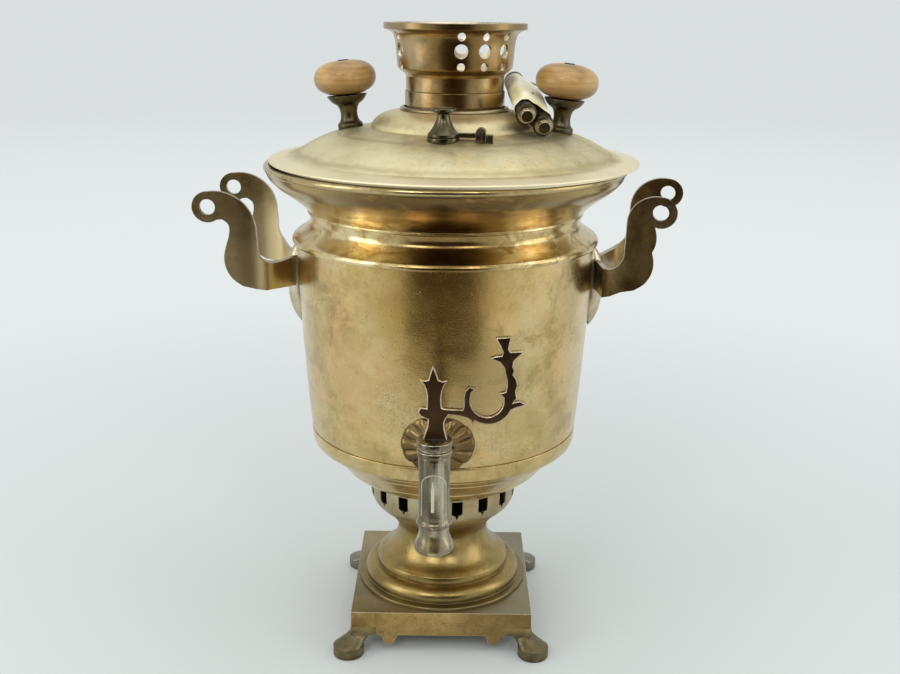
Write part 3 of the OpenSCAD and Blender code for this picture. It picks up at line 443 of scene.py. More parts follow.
def base_dust(f, here, tone):
    right = f.along(here, "X") + f.noise(here, 40, 3) * 0.03
    tone = f.mix(f.fade(right, 0.01, 0.075) * 0.5, tone, (0.24, 0.16, 0.06))
    return f.mix(f.fade(f.facing((0, 0, 1)), 0.8, 0.95) * 0.65, tone, (0.29, 0.27, 0.19))


base_brass = old_brass("base_brass", (0.62, 0.43, 0.18), (0.45, 0.30, 0.11), (0.24, 0.15, 0.055),
                       rough=0.4, tarnish=0.55, spots=0.9, grit=0.5, seed=17.2, extra=base_dust)

# %% Foot bronze and pedestal brass
ankle_low, ankle_high = 0.017, 0.027
flange_low, flange_high = 0.040, 0.046


def foot_wear(f, here, tone):
    tone = f.mix(f.fade(f.along(here, "Y"), 0.03, 0.06) * 0.5, tone, (0.30, 0.29, 0.25))
    grain = f.noise(here, 60, 4, 0.6)
    apron = f.ramp(grain, [(0.3, (0.24, 0.15, 0.055)), (0.7, (0.50, 0.34, 0.135))])
    return f.mix(f.fade(f.along(here, "Z") + grain * 0.006, ankle_low, ankle_high), tone, apron)


def flange_dirt(f, here, tone):
    flange = 1 - f.fade(f.along(here, "Z"), flange_low, flange_high)
    return f.mix(flange * 0.7, tone, (0.20, 0.165, 0.08))


foot_bronze = old_brass("foot_bronze", (0.30, 0.25, 0.15), (0.20, 0.165, 0.09), (0.11, 0.09, 0.045),
                        rough=0.42, tarnish=0.4, spots=0.6, grit=0.45, seed=19.4, extra=foot_wear)
pedestal_brass = old_brass("pedestal_brass", (0.42, 0.31, 0.125), (0.31, 0.215, 0.075), (0.17, 0.105, 0.03),
                           rough=0.29, tarnish=0.55, spots=0.3, dirt=1.0, grit=0.3, seed=21.5,
                           extra=flange_dirt)

# %% [markdown]
# ## Vent ring and brackets
# The vent ring is a paler brass. The brackets are bronze, with a painted highlight that makes the lower
# arms of the left one pale, and their narrow edges are bright from hands and cloths.

# %% Vent brass and bracket bronze
left_bracket = (-0.15, 0, 0.30)


def painted_left_bracket_light(f, here, tone):
    # Painted highlight: the lower arms of the left bracket are made pale.
    height = f.along(here, "Z") + f.noise(here, 45, 4, 0.6) * 0.02
    left = f.near(here, left_bracket, 0.075, 0.03)
    return f.mix(left * (1 - f.fade(height, 0.325, 0.365)) * 0.8, tone, (0.72, 0.57, 0.31))


vent_brass = old_brass("vent_brass", (0.56, 0.48, 0.31), (0.44, 0.36, 0.21), (0.25, 0.19, 0.10),
                       rough=0.34, tarnish=0.35, spots=0.3, seed=25.0)
bracket_bronze = old_brass("bracket_bronze", (0.46, 0.345, 0.165), (0.28, 0.20, 0.085), (0.12, 0.078, 0.028),
                           rough=0.3, tarnish=0.5, spots=0.9, grit=0.4, seed=30.3, extra=painted_left_bracket_light)
bracket_edge = old_brass("bracket_edge", (0.62, 0.54, 0.38), (0.42, 0.35, 0.23), (0.20, 0.15, 0.08),
                         rough=0.26, tarnish=0.4, spots=0.3, seed=31.9)

# %% [markdown]
# ## Rosette, tap and key
# The tap is cast in a greyer bronze. Water and cloths have drawn streaks down it. A painted highlight runs
# down the middle of its arched panel, its left side carries a painted shadow, and a gold spot at the spout
# is a painted glint. The key is a flat casting that has gone dark brown, and dirt has darkened the grooves
# of the rosette.

# %% Rosette brass, tap bronze and key bronze


def tap_streaks_and_light(f, here, tone):
    streak = f.noise(f.stretch(here, 1, 1, 0.07), 260, 3, 0.6)
    tone = f.mix(f.fade(streak, 0.52, 0.66) * 0.5, tone, (0.70, 0.62, 0.42))
    tone = f.mix((1 - f.fade(streak, 0.34, 0.46)) * 0.5, tone, (0.12, 0.095, 0.05))
    # Painted highlight: a pale band down the middle of the arched panel.
    panel = f.near(f.stretch(here, 1, 1, 0.35), (-0.002, -0.1685, 0.0635), 0.003, 0.006)
    tone = f.mix(panel * 0.5, tone, (0.70, 0.65, 0.52))
    # Painted shadow on the tap's left side.
    painted_tap_shadow = f.near(f.stretch(here, 1, 1, 0.2), (-0.0125, -0.1645, 0.038), 0.003, 0.006)
    tone = f.mix(painted_tap_shadow * 0.65, tone, (0.10, 0.085, 0.055))
    # Painted glint: a gold spot at the spout.
    painted_spout_glint = f.near(f.stretch(here, 1, 0.6, 0.5), (-0.006, -0.1015, 0.0715), 0.0015, 0.0035)
    return f.mix(painted_spout_glint * 0.7, tone, (0.72, 0.62, 0.27))


rosette_brass = old_brass("rosette_brass", (0.23, 0.155, 0.068), (0.14, 0.09, 0.036), (0.045, 0.029, 0.01),
                          rough=0.25, tarnish=0.3, spots=0.2, dirt=1.0, seed=33.8)
tap_bronze = old_brass("tap_bronze", (0.42, 0.38, 0.28), (0.28, 0.24, 0.165), (0.12, 0.095, 0.055),
                       rough=0.27, tarnish=0.4, spots=0.2, dirt=1.0, seed=37.7, extra=tap_streaks_and_light)
key_bronze = old_brass("key_bronze", (0.11, 0.062, 0.032), (0.065, 0.036, 0.019), (0.035, 0.019, 0.01),
                       rough=0.5, tarnish=0.3, spots=0.3, seed=41.1)

# %% [markdown]
# ## Small metal parts
# Filed edges are worn to bare metal. The stems of the knobs and the steam vent are dark bronze, and the
# rods and pins are steel. The inside of the urn is coated with tin, which dulls to a cloudy grey with
# lime spots, and the iron that stood in charcoal is near black, with grey ash in its hollows.

# %% Worn edges, dark bronze and steel
edge_bright = old_brass("edge_bright", (0.78, 0.70, 0.54), (0.60, 0.52, 0.37), (0.32, 0.26, 0.17),
                        rough=0.28, tarnish=0.2, spots=0.1, seed=45.6)
dark_bronze = old_brass("dark_bronze", (0.12, 0.10, 0.058), (0.055, 0.046, 0.025), (0.02, 0.017, 0.009),
                        rough=0.32, tarnish=0.5, spots=0.4, seed=49.9)
steam_bronze = old_brass("steam_bronze", (0.24, 0.205, 0.13), (0.12, 0.10, 0.058), (0.045, 0.036, 0.018),
                         rough=0.22, tarnish=0.4, spots=0.2, seed=53.3)
rod_steel = old_brass("rod_steel", (0.12, 0.11, 0.09), (0.06, 0.055, 0.045), (0.02, 0.018, 0.015),
                      rough=0.4, tarnish=0.4, spots=0.3, seed=57.0)

# %% Tin and iron


def tinned_sheet():
    f = Finish("tinned_sheet")
    here = f.place()
    cloud = f.noise(here, 18, 5, 0.6, 0.4)
    lime = f.specks(here, 90, 0.3) * f.fade(f.noise(here, 30), 0.5, 0.7)
    tone = f.ramp(f.fade(cloud, 0.3, 0.7), [(0.0, (0.30, 0.29, 0.27)), (1.0, (0.55, 0.54, 0.51))])
    tone = f.mix(lime * 0.6, tone, (0.75, 0.72, 0.64))
    f.emboss(cloud, 0.4 * MM)
    return f.surface(Base_Color=tone, Metallic=0.85, Roughness=0.4 + lime * 0.3)


def sooty_iron():
    f = Finish("sooty_iron")
    here = f.place()
    ash = f.fade(f.noise(here, 60, 5, 0.6), 0.5, 0.75)
    tone = f.mix(ash, (0.02, 0.018, 0.016), (0.14, 0.13, 0.12))
    f.emboss(f.noise(here, 260, 5, 0.6), 0.5 * MM)
    return f.surface(Base_Color=tone, Metallic=0.4, Roughness=0.75 + ash * 0.2)


tin = tinned_sheet()
iron = sooty_iron()

# %% [markdown]
# ## The wood's grain
# The knobs are turned from pale beech or birch. Turning cuts across the yearly rings, so the grain
# shows as stretched bands that wrap the ball, with short dark flecks. The underside is darkened with
# painted shade, and the old varnish keeps a soft shine.

# %% Wood finishes


def turned_wood(name, pale, warm, dark, seed):
    f = Finish(name)
    here = f.vector("ADD", f.place(), (seed, seed, seed))
    bend = f.noise(here, 30, 3, 0.5)
    bands = {"wave_type": "BANDS", "bands_direction": "Z"}
    waves = {"Vector": f.stretch(here, 0.25, 0.4, 1), "Scale": 75.0, "Distortion": 4.0, "Detail": 3.0,
             "Detail Scale": 0.6}
    rings = f.add("ShaderNodeTexWave", bands, waves, out="Fac")
    fibre = f.noise(f.stretch(here, 20, 60, 300), 3.0, 5, 0.6)
    fleck = f.fade(f.noise(f.stretch(here, 60, 200, 520), 2.2, 2, 0.5), 0.64, 0.72)
    share = rings * 0.05 + fibre * 0.25 + bend * 0.7
    tone = f.ramp(f.fade(share, 0.25, 0.75), [(0.0, dark), (0.5, warm), (1.0, pale)])
    tone = f.mix(fleck * 0.25, tone, shaded(dark, 0.6))
    # Painted shade: the side that faces down is darkened.
    painted_underside_shade = f.fade(f.facing((0, 0, -1)) + bend * 0.5, 0.1, 1.1)
    tone = f.mix(painted_underside_shade * 0.75, tone, shaded(dark, 0.75))
    f.emboss(fibre * 0.4 + fleck * -0.4, 0.2 * MM)
    return f.surface(Base_Color=tone, Roughness=0.34 + fibre * 0.14, Coat_Weight=0.2)


beech = turned_wood("beech", (0.62, 0.42, 0.18), (0.48, 0.28, 0.088), (0.26, 0.13, 0.033), 2.2)
dark_wood = turned_wood("dark_wood", (0.09, 0.055, 0.03), (0.05, 0.03, 0.018), (0.02, 0.012, 0.008), 6.6)

# %% [markdown]
# ## Softened outlines
# A part that is spun or turned has one outline that goes round its axis. The frame's parts have coarse
# rings and knife-sharp corners. So each outline is cut out of the part with a half-plane, its corners
# are rounded as a polisher rounds them, and it is spun again with many more steps.

# %% Cut an outline out of a part
upright = Matrix.Identity(4)
axis_gap = 0.04 * MM
weld = 1e-6


def outline_links(edges, out):
    """Which vertices follow each other along the cut, on the side of the axis that out points to."""
    links = {}
    for edge in edges:
        if isinstance(edge, bmesh.types.BMEdge) and min(v.co.dot(out) for v in edge.verts) > MM:
            a, b = edge.verts
            links.setdefault(a.index, []).append(b.index)
            links.setdefault(b.index, []).append(a.index)
    return links


def cut_loops(node, azimuth, stand=upright):
    """Closed loops of (radius, height) where a half-plane at this azimuth cuts a node.

    Stand is the matrix that carries the Z axis to the axis that the node was turned about. An outline
    that crosses the axis is closed just beside it."""
    mesh = bmesh.new()
    mesh.from_mesh(nodes[node].data)
    mesh.transform(stand.inverted())
    bmesh.ops.remove_doubles(mesh, verts=mesh.verts, dist=weld)
    out = Vector((math.cos(azimuth), math.sin(azimuth), 0))
    across = Vector((-out.y, out.x, 0))
    parts = mesh.verts[:] + mesh.edges[:] + mesh.faces[:]
    cut = bmesh.ops.bisect_plane(mesh, geom=parts, plane_co=(0, 0, 0), plane_no=across, dist=1e-7)
    mesh.verts.index_update()
    mesh.verts.ensure_lookup_table()
    links = outline_links(cut["geom_cut"], out)
    points = {i: (mesh.verts[i].co.dot(out), mesh.verts[i].co.z) for i in links}
    mesh.free()
    loops = []
    while links:
        ends = [i for i in links if len(links[i]) == 1]
        start = ends[0] if ends else next(iter(links))
        loop, here, last = [start], start, None
        while True:
            ahead = [i for i in links[here] if i != last]
            if not ahead or ahead[0] == start:
                break
            last, here = here, ahead[0]
            loop.append(here)
        outline = [points[i] for i in loop]
        if ends:
            outline += [(axis_gap, outline[-1][1]), (axis_gap, outline[0][1])]
        loops.append(outline)
        for i in loop:
            links.pop(i, None)
    return [loop for loop in loops if len(loop) > 2]


print("raw wall outline:", len(cut_loops("body_wall", math.radians(45))[0]), "points")

# %% [markdown]
# ## Rounded corners
# A bevel would treat every facet alike. Here a sharp corner gets an arc as small as a polisher leaves,
# and a corner that only stands for a curve gets an arc as wide as its neighbours allow, so that coarse
# rings turn into one smooth sweep.

# %% Soften the corners
corner_cut = 0.45 * MM
corner_angle = math.radians(24)
step_angle = math.radians(5)
most_steps = 6
corner_share = 0.45
longest_side = 5 * MM
shortest_side = 0.02 * MM
straight_slack = 0.012 * MM


def thinned(loop):
    """The same loop without points that lie on the straight line between their neighbours."""
    points = [Vector(p) for p in loop]
    kept = True
    while kept:
        kept = False
        for i in range(len(points)):
            a, p, b = points[i - 1], points[i], points[(i + 1) % len(points)]
            line = b - a
            off = abs(line.x * (p - a).y - line.y * (p - a).x) / max(line.length, 1e-9)
            if off < straight_slack and (p - a).dot(line) > 0:
                points.pop(i)
                kept = True
                break
    return points


def rounded(before, p, after, cut):
    """The points of the arc that takes a corner's place."""
    before, after = before - p, after - p
    turn = math.pi - before.angle(after)
    reach = 0.5 * min(before.length, after.length)
    if turn > corner_angle:
        reach = min(cut, corner_share * min(before.length, after.length))
    a, b = p + before.normalized() * reach, p + after.normalized() * reach
    steps = min(max(1, round(turn / step_angle)), most_steps)
    shares = [k / steps for k in range(steps + 1)]
    return [a * (1 - t) ** 2 + p * (2 * t * (1 - t)) + b * t**2 for t in shares]


def softened(loop, cut=corner_cut):
    """Rounds every corner of a loop, and splits its long sides."""
    points = thinned(loop)
    result = []
    for i, p in enumerate(points):
        result += rounded(points[i - 1], p, points[(i + 1) % len(points)], cut)
    even = []
    for i, p in enumerate(result):
        q = result[(i + 1) % len(result)]
        length = (q - p).length
        if length > shortest_side:
            parts = max(1, math.ceil(length / longest_side))
            even += [p.lerp(q, k / parts) for k in range(parts)]
    return even


print("soft wall outline:", len(softened(cut_loops("body_wall", math.radians(45))[0])), "points")

# %% [markdown]
# ## Spun sheet
# Sheet that has been pressed over a wooden form is never a perfect circle. A slow noise, the same for
# all parts so that their seams stay shut, pushes it in and out by a few tenths of a millimetre. That
# is what bends the reflections in old metal.

# %% Make a piece
dent_size = 46 * MM
dent_depth = 0.28 * MM


def dented(point, depth):
    push = noise.noise(point / dent_size) + 0.4 * noise.noise(point / dent_size * 2.6 + Vector((7, 3, 5)))
    out = Vector((point.x, point.y, 0))
    return point + out.normalized() * push * depth


def new_piece(name, vertices, faces, body, slot, *finishes):
    """A mesh object that rides on a body, with its finishes in order."""
    mesh = bpy.data.meshes.new(name)
    mesh.from_pydata(vertices, [], faces)
    mesh.validate()
    piece = new_object(name, mesh)
    for finish in finishes:
        mesh.materials.append(finish)
    mesh.polygons.foreach_set("use_smooth", [True] * len(mesh.polygons))
    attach(piece, body)
    return piece


def applied(piece):
    """Makes the result of a piece's modifiers its own mesh."""
    graph = bpy.context.evaluated_depsgraph_get()
    graph.update()
    result = piece.evaluated_get(graph)
    shape = bpy.data.meshes.new_from_object(result, preserve_all_data_layers=True, depsgraph=graph)
    piece.modifiers.clear()
    piece.data = shape
    return piece


def faced_outwards(mesh):
    """Turns every face of a closed mesh to look outwards."""
    fix = bmesh.new()
    fix.from_mesh(mesh)
    bmesh.ops.recalc_face_normals(fix, faces=fix.faces)
    fix.to_mesh(mesh)
    fix.free()


print("dents up to", round(dent_depth / MM, 2), "mm deep")

# %% Spin an outline into a piece
spin_steps = 200
inward_slope = -0.25


def area(loop):
    return sum(p.x * q.y - q.x * p.y for p, q in zip(loop, loop[1:] + loop[:1])) / 2


def spun(name, node, body, slot, outer, inner=None, azimuth=45.0, stand=upright, depth=dent_depth,
         cut=corner_cut, off_centre=None):
    """Spins a node's outline into a smooth piece. Faces that look at the axis get the inner finish.

    Off_centre is (shift, radius, reach) of a round hole beside the axis: what lies within reach of the
    axis is drawn in or out to meet its edge."""
    vertices, faces, inside = [], [], []
    for raw in cut_loops(node, math.radians(azimuth), stand):
        loop = softened(raw, cut)
        if area(loop) < 0:
            loop.reverse()
        first, count = len(vertices), len(loop)
        least = min(p.x for p in loop)
        for step in range(spin_steps):
            turn = 2 * math.pi * step / spin_steps
            for p in loop:
                r = p.x
                if off_centre and r < off_centre[2]:
                    shift, radius, reach = off_centre
                    edge = shift * math.cos(turn) + math.sqrt(radius**2 - (shift * math.sin(turn)) ** 2)
                    r = reach - (reach - r) * (reach - edge) / (reach - least)
                point = dented(Vector((r * math.cos(turn), r * math.sin(turn), p.y)), depth)
                vertices.append(stand @ point)
        for step in range(spin_steps):
            near, far = first + step * count, first + (step + 1) % spin_steps * count
            for i in range(count):
                j = (i + 1) % count
                faces.append((near + i, far + i, far + j, near + j))
                edge = loop[j] - loop[i]
                inside.append(edge.y < inward_slope * edge.length)
    piece = new_piece(name, vertices, faces, body, slot, outer, inner or outer)
    for polygon, turned_in in zip(piece.data.polygons, inside):
        polygon.material_index = int(turned_in)
    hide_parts(node)
    print(name, len(faces), "faces")
    return piece


# %% [markdown]
# ## Body, flue and lid
# The urn is soldered up from spun rings: wall, bowl, shoulder and rim. The flue stands a little to the
# right of their axis, and the lid and the crown go with it. So they are spun about the flue's own axis,
# and the hole in the bowl is drawn off its centre to meet the flue.

# %% Spin the body, the flue and the lid
flue_x = 6 * MM
flue_axis = Matrix.Translation((flue_x, 0, 0))
bowl_hole = 46.2 * MM
bowl_flat = 61 * MM
looks_down = -0.9
spun("wall", "body_wall", ROOT, "body_brass", wall_brass, tin)
bowl = spun("bowl", "bowl_bottom", ROOT, "body_brass", wall_brass, tin, azimuth=0,
            off_centre=(flue_x, bowl_hole, bowl_flat))
for polygon in bowl.data.polygons:
    if polygon.normal.z < looks_down and polygon.center.xy.length < bowl_flat:
        polygon.material_index = 1
spun("shoulder", "shoulder_ring", ROOT, "body_brass", rim_brass, tin)
spun("rim", "rim_ring", ROOT, "body_brass", rim_brass, tin)
spun("pedestal_turning", "pedestal", ROOT, "pedestal_brass", pedestal_brass, iron)
spun("flue", "fire_tube", ROOT, "tube_brass", crown_brass, iron, stand=flue_axis, depth=0)
spun("flue_band", "tube_collar", ROOT, "tube_brass", crown_brass, stand=flue_axis, depth=0)
spun("lid_dome", "lid_shell", LID, "lid_brass", lid_brass, tin, stand=flue_axis)
spun("lid_ring", "lid_collar", LID, "lid_collar_brass", vent_brass, stand=flue_axis, depth=0)
spun("lid_skirt", "lid_spigot", LID, "lid_brass", lid_brass, tin, stand=flue_axis, depth=0)
spun("crown_neck", "crown_sleeve", "crown", "crown_brass", crown_brass, stand=flue_axis, depth=0)

# %% [markdown]
# ## Pierced rings
# The draught windows and the holes of the crown are punched through finished rings. The ring is spun
# whole, cutters of the punch's shape go through it, and the cut walls keep their own brighter metal,
# because a punch leaves clean brass that polish keeps clean.

# %% Punches
punched_corner = 50
smooth_corner = 40


def bevelled(piece, width, angle, bright, harden=False):
    """Rounds the edges that turn by more than angle degrees, and gives the rounds a finish's number."""
    bevel = piece.modifiers.new("edge", "BEVEL")
    bevel.width = width
    bevel.segments = 2
    bevel.limit_method = "ANGLE"
    bevel.angle_limit = math.radians(angle)
    bevel.harden_normals = harden
    bevel.material = bright
    return applied(piece)


def punched(piece, cutters, width):
    """Cuts each (outline, place, depth) prism out of a piece, and breaks the sharp edges of the holes."""
    vertices, faces = [], []
    for outline, place, depth in cutters:
        first, count = len(vertices), len(outline)
        for end in (-depth, depth):
            vertices += [place @ Vector((x, end, z)) for x, z in outline]
        faces.append(tuple(first + i for i in range(count)))
        faces.append(tuple(first + count + i for i in reversed(range(count))))
        for i in range(count):
            j = (i + 1) % count
            faces.append((first + j, first + i, first + count + i, first + count + j))
    mesh = bpy.data.meshes.new("punch")
    mesh.from_pydata(vertices, [], faces)
    mesh.materials.append(edge_bright)
    faced_outwards(mesh)
    tool = new_object("punch", mesh)
    cut = piece.modifiers.new("cut", "BOOLEAN")
    cut.object = tool
    cut.solver = "EXACT"
    cut.material_mode = "TRANSFER"
    applied(piece)
    bpy.data.objects.remove(tool)
    bright = [i for i, m in enumerate(piece.data.materials) if m == edge_bright]
    bevelled(piece, width, punched_corner, bright[0] if bright else 0)
    piece.data.polygons.foreach_set("use_smooth", [True] * len(piece.data.polygons))
    piece.data.set_sharp_from_angle(angle=math.radians(smooth_corner))
    print(piece.name, "with", len(cutters), "holes")


print("a punched edge is rounded where it turns by more than", punched_corner, "degrees")

# %% [markdown]
# ## The crown's holes
# The crown carries a teapot and lets the smoke out through three groups of holes. A group has three
# columns, each with a large hole between two small ones.

# %% Punch the crown
hole_steps = 28


def round_outline(radius, height):
    angles = [2 * math.pi * i / hole_steps for i in range(hole_steps)]
    return [(radius * math.cos(a), height + radius * math.sin(a)) for a in angles]


crown_ring = spun("crown_ring", "crown", "crown", "crown_brass", crown_brass, azimuth=0, stand=flue_axis,
                  depth=0)
crown_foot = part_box("crown")[0].z
crown_columns = [5.5, 29.0, 53.5]
crown_holes = [(18.8 * MM, 2.9 * MM), (29.6 * MM, 5.0 * MM), (39.6 * MM, 2.9 * MM)]
crown_out = 45 * MM
crown_punch = 18 * MM
cutters = []
for third in (0, 120, 240):
    for column in crown_columns:
        turn = Matrix.Rotation(math.radians(third + column), 4, "Z")
        place = flue_axis @ turn @ Matrix.Translation((0, -crown_out, 0))
        for up, radius in crown_holes:
            cutters.append((round_outline(radius, crown_foot + up), place, crown_punch))
punched(crown_ring, cutters, 0.35 * MM)

# %% [markdown]
# ## The draught windows
# Air for the charcoal comes in through a ring of tall windows under the bowl. Each ends below in a
# small point between two shoulders, as the punch left it.

# %% Punch the vent ring
window_count = 17
window_turn = -9.9
window_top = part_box("grate")[0].z - 1.9 * MM
window_half = 4.3 * MM
window_deep = 11 * MM
window_point = 4.6 * MM
vent_out = 55 * MM
vent_punch = 12 * MM
sill = window_top - window_deep
point_half, point_start = window_half * 0.4, sill - MM
window = [
    (-window_half, window_top), (-window_half, sill), (-point_half, point_start),
    (0, sill - window_point),
    (point_half, point_start), (window_half, sill), (window_half, window_top),
]
vent = spun("vent_cup", "vent_ring", ROOT, "vent_brass", vent_brass, iron,
            azimuth=-90 + window_turn + 180 / window_count, depth=0)
cutters = []
for i in range(window_count):
    turn = math.radians(window_turn + i * 360 / window_count)
    place = Matrix.Rotation(turn, 4, "Z") @ Matrix.Translation((0, -vent_out, 0))
    cutters.append((window, place, vent_punch))
punched(vent, cutters, 0.3 * MM)

# %% [markdown]
# ## Cast and filed pieces
# Brackets, key, tap and base were cast and then filed. Their faces stay dark, but every edge that a
# hand or a cloth can reach is worn bright. So each part's edges are bevelled, and the bevels get the
# bright finish.

# %% Break the edges of a cast part
flat_angle = math.radians(0.6)
filed_corner = 34
cast_edge, fine_edge = 0.8 * MM, 0.4 * MM


def filed(name, node, body, width, face, edge=None, choose=None, strips=()):
    """Bevels a node's sharp edges. Choose, given a face's normal, says if it is worn bright.

    Strips are places along X where the faces are cut, so that their shading can turn there."""
    mesh = bmesh.new()
    mesh.from_mesh(nodes[node].data)
    bmesh.ops.remove_doubles(mesh, verts=mesh.verts, dist=weld)
    bmesh.ops.dissolve_limit(mesh, angle_limit=flat_angle, verts=mesh.verts, edges=mesh.edges)
    for x in strips:
        every = list(mesh.verts) + list(mesh.edges) + list(mesh.faces)
        bmesh.ops.bisect_plane(mesh, geom=every, plane_co=(x, 0, 0), plane_no=(1, 0, 0))
    data = bpy.data.meshes.new(name)
    mesh.to_mesh(data)
    mesh.free()
    piece = new_object(name, data)
    data.materials.clear()
    data.materials.append(face)
    data.materials.append(edge or face)
    for polygon in data.polygons:
        polygon.material_index = int(bool(choose and choose(polygon.normal)))
        polygon.use_smooth = True
    bevelled(piece, width, filed_corner, 1, harden=True)
    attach(piece, body)
    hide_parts(node)
    print(name, len(piece.data.polygons), "faces")
    return piece


filed("base_casting", "base_plinth", ROOT, cast_edge, base_brass, edge_bright)
for corner in ("front_left", "front_right", "rear_left", "rear_right"):
    filed("cast_foot_" + corner, "foot_" + corner, ROOT, cast_edge, foot_bronze)

# %% [markdown]
# ## Bent arms
# An arm was bent hot, so its broad cheeks turn without a crease, while the frame's arm has flat facets.
# Moving points would spoil its measured shape, so only its shading is softened: each cheek is cut in
# strips along its length, and the normals of the strips are averaged along the bend.

# %% Shade the arms
arm_start = 112 * MM
strip_gap = 3 * MM
strip_count = 26
bend_reach = 19 * MM
strip_wide = 1.5 * MM
cheek_area = 8e-6
arm_round, rod_round = 0.5 * MM, 0.3 * MM


def arm_edge(normal):
    """The narrow sides of a bracket's arms, which cloths reach, but not its broad cheeks."""
    return abs(normal.y) < 0.2


def bent_softly(piece):
    data = piece.data
    upright_faces = [p for p in data.polygons if abs(p.normal.z) < 0.02 and abs(p.normal.y) > 0.3]
    cheeks = [p for p in upright_faces if p.area > cheek_area or abs(p.normal.y) > 0.9]
    front = {vertex: p.normal.y > 0 for p in cheeks for vertex in p.vertices}
    for polygon in upright_faces:
        polygon.material_index = 0
    widest = {}
    for polygon in cheeks:
        strip = polygon.normal.y > 0, round(polygon.center.x / strip_wide)
        if strip not in widest or polygon.area > widest[strip].area:
            widest[strip] = polygon
    samples = [(p.center.xy, p.normal.copy()) for p in widest.values() if p.area > cheek_area]
    normals = [corner.vector.copy() for corner in data.corner_normals]
    for index, loop in enumerate(data.loops):
        if loop.vertex_index in front:
            spot, total = data.vertices[loop.vertex_index].co.xy, Vector()
            for middle, normal in samples:
                weight = max(0.0, 1 - (middle - spot).length_squared / bend_reach**2)
                if (normal.y > 0) == front[loop.vertex_index]:
                    total += normal * weight**2
            if total.length > 0:
                normals[index] = total.normalized()
    data.normals_split_custom_set(normals)


for side, way in (("left", -1), ("right", 1)):
    filed("boss_" + side, "handle_boss_" + side, ROOT, fine_edge, edge_bright)
    strips = [way * (arm_start + strip_gap * i) for i in range(strip_count)]
    for end in ("front", "rear"):
        bent_softly(filed(f"arm_{side}_{end}", f"handle_arm_{side}_{end}", ROOT, arm_round,
                          bracket_bronze, bracket_edge, choose=arm_edge, strips=strips))
    filed("stem_" + side, "knob_stem_" + side, LID, fine_edge, dark_bronze, bracket_edge)
    filed("rod_" + side, "knob_rod_" + side, LID, rod_round, rod_steel)

# %% [markdown]
# ## Tap, key and steam vent
# The tap's barrel, its plug and the steam vent are small castings with the same filed edges. The key is
# flat and was filed all along its outline, so its whole narrow side is bright, not only its edges.

# %% File the small castings
tap_round, key_round, pin_round = 0.5 * MM, 0.7 * MM, 0.2 * MM


def key_side(normal):
    return abs(normal.y) < 0.5


filed("tap_casting", "tap_body", ROOT, tap_round, tap_bronze, edge_bright)
filed("plug", "tap_plug", "tap_valve", fine_edge, tap_bronze, edge_bright)
filed("key", "tap_key", "tap_valve", key_round, key_bronze, edge_bright, choose=key_side)
filed("steam_seat_ring", "steam_seat", LID, fine_edge, steam_bronze)
filed("steam_post", "steam_hinge_post", LID, fine_edge, steam_bronze)
filed("steam_pin", "steam_hinge_pin", LID, pin_round, rod_steel)
filed("steam_spool", "steam_cap", "steam_cap", fine_edge, steam_bronze)

# %% [markdown]
# ## The rosette behind the tap
# The rosette is a stamped shell: round lobes with sharp valleys between them, on an oval dome that
# lies on the curved wall. A polar grid carries that shape best, with the lobes as a folded cosine
# of the angle. Its back follows the wall, a tenth of a millimetre off it.

# %% Stamp the rosette
tap_frame = Matrix.Rotation(math.radians(-1.8), 4, "Z")
tap_height = 192 * MM
wall_foot, wall_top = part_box("body_wall")
bead_radius, mouth_radius = 105.2 * MM, 113.8 * MM
wall_gap = 0.1 * MM
least_shell = 0.4 * MM
shank_hole = 9.1 * MM
rosette_half = 26.5 * MM
rosette_flat = 0.82
lobes = 12
lobe_depth = 3.0 * MM
lobe_notch = 0.35 * MM
lobe_start, lobe_full = 10, 20
dome = [(9.1, 8.6), (11.0, 8.55), (12.5, 8.3), (14.0, 7.4), (16.0, 6.3), (18.5, 5.2), (21.2, 4.1),
        (23.5, 3.2), (25.3, 2.1), (26.2, 1.2), (26.5, 0.5)]
rosette_steps = 288


def wall_radius(height):
    share = min(1.0, max(0.0, (height - wall_foot.z) / (wall_top.z - wall_foot.z)))
    return bead_radius + (mouth_radius - bead_radius) * (1 - (1 - share) ** 1.5)


def off_wall(x, z):
    """How far in front of the axis a point just off the wall is."""
    return math.sqrt(wall_radius(z) ** 2 - x * x) + wall_gap


vertices, faces = [], []
for step in range(rosette_steps):
    angle = 2 * math.pi * step / rosette_steps
    valley = 1 - abs(math.cos(angle * lobes / 2)) ** 0.75
    for radius, height in dome:
        share = min(1.0, max(0.0, (radius - lobe_start) / (lobe_full - lobe_start)))
        reach = radius * MM - lobe_notch * valley * share
        x, z = reach * math.cos(angle), reach * math.sin(angle) * rosette_flat + tap_height
        front = wall_radius(tap_height) + height * MM - lobe_depth * share * valley
        vertices.append(tap_frame @ Vector((x, -max(front, off_wall(x, z) + least_shell), z)))
    for reach, flat in ((rosette_half - lobe_notch * valley, rosette_flat), (shank_hole, 1)):
        x, z = reach * math.cos(angle), reach * math.sin(angle) * flat + tap_height
        vertices.append(tap_frame @ Vector((x, -off_wall(x, z), z)))
rows = len(dome) + 2
for step in range(rosette_steps):
    a, b = step * rows, (step + 1) % rosette_steps * rows
    faces += [(a + i, a + (i + 1) % rows, b + (i + 1) % rows, b + i) for i in range(rows)]
rosette = new_piece("rosette", vertices, faces, ROOT, "rosette_brass", rosette_brass)
faced_outwards(rosette.data)
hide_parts("tap_rosette")
print("rosette with", lobes, "lobes and", len(faces), "faces")

# %% [markdown]
# ## Beads on the tap
# The front of the barrel has an arched panel, outlined by a fine bead with a ridge down its middle.
# A curve with a round section gives each bead, which lies partly sunk in the barrel.

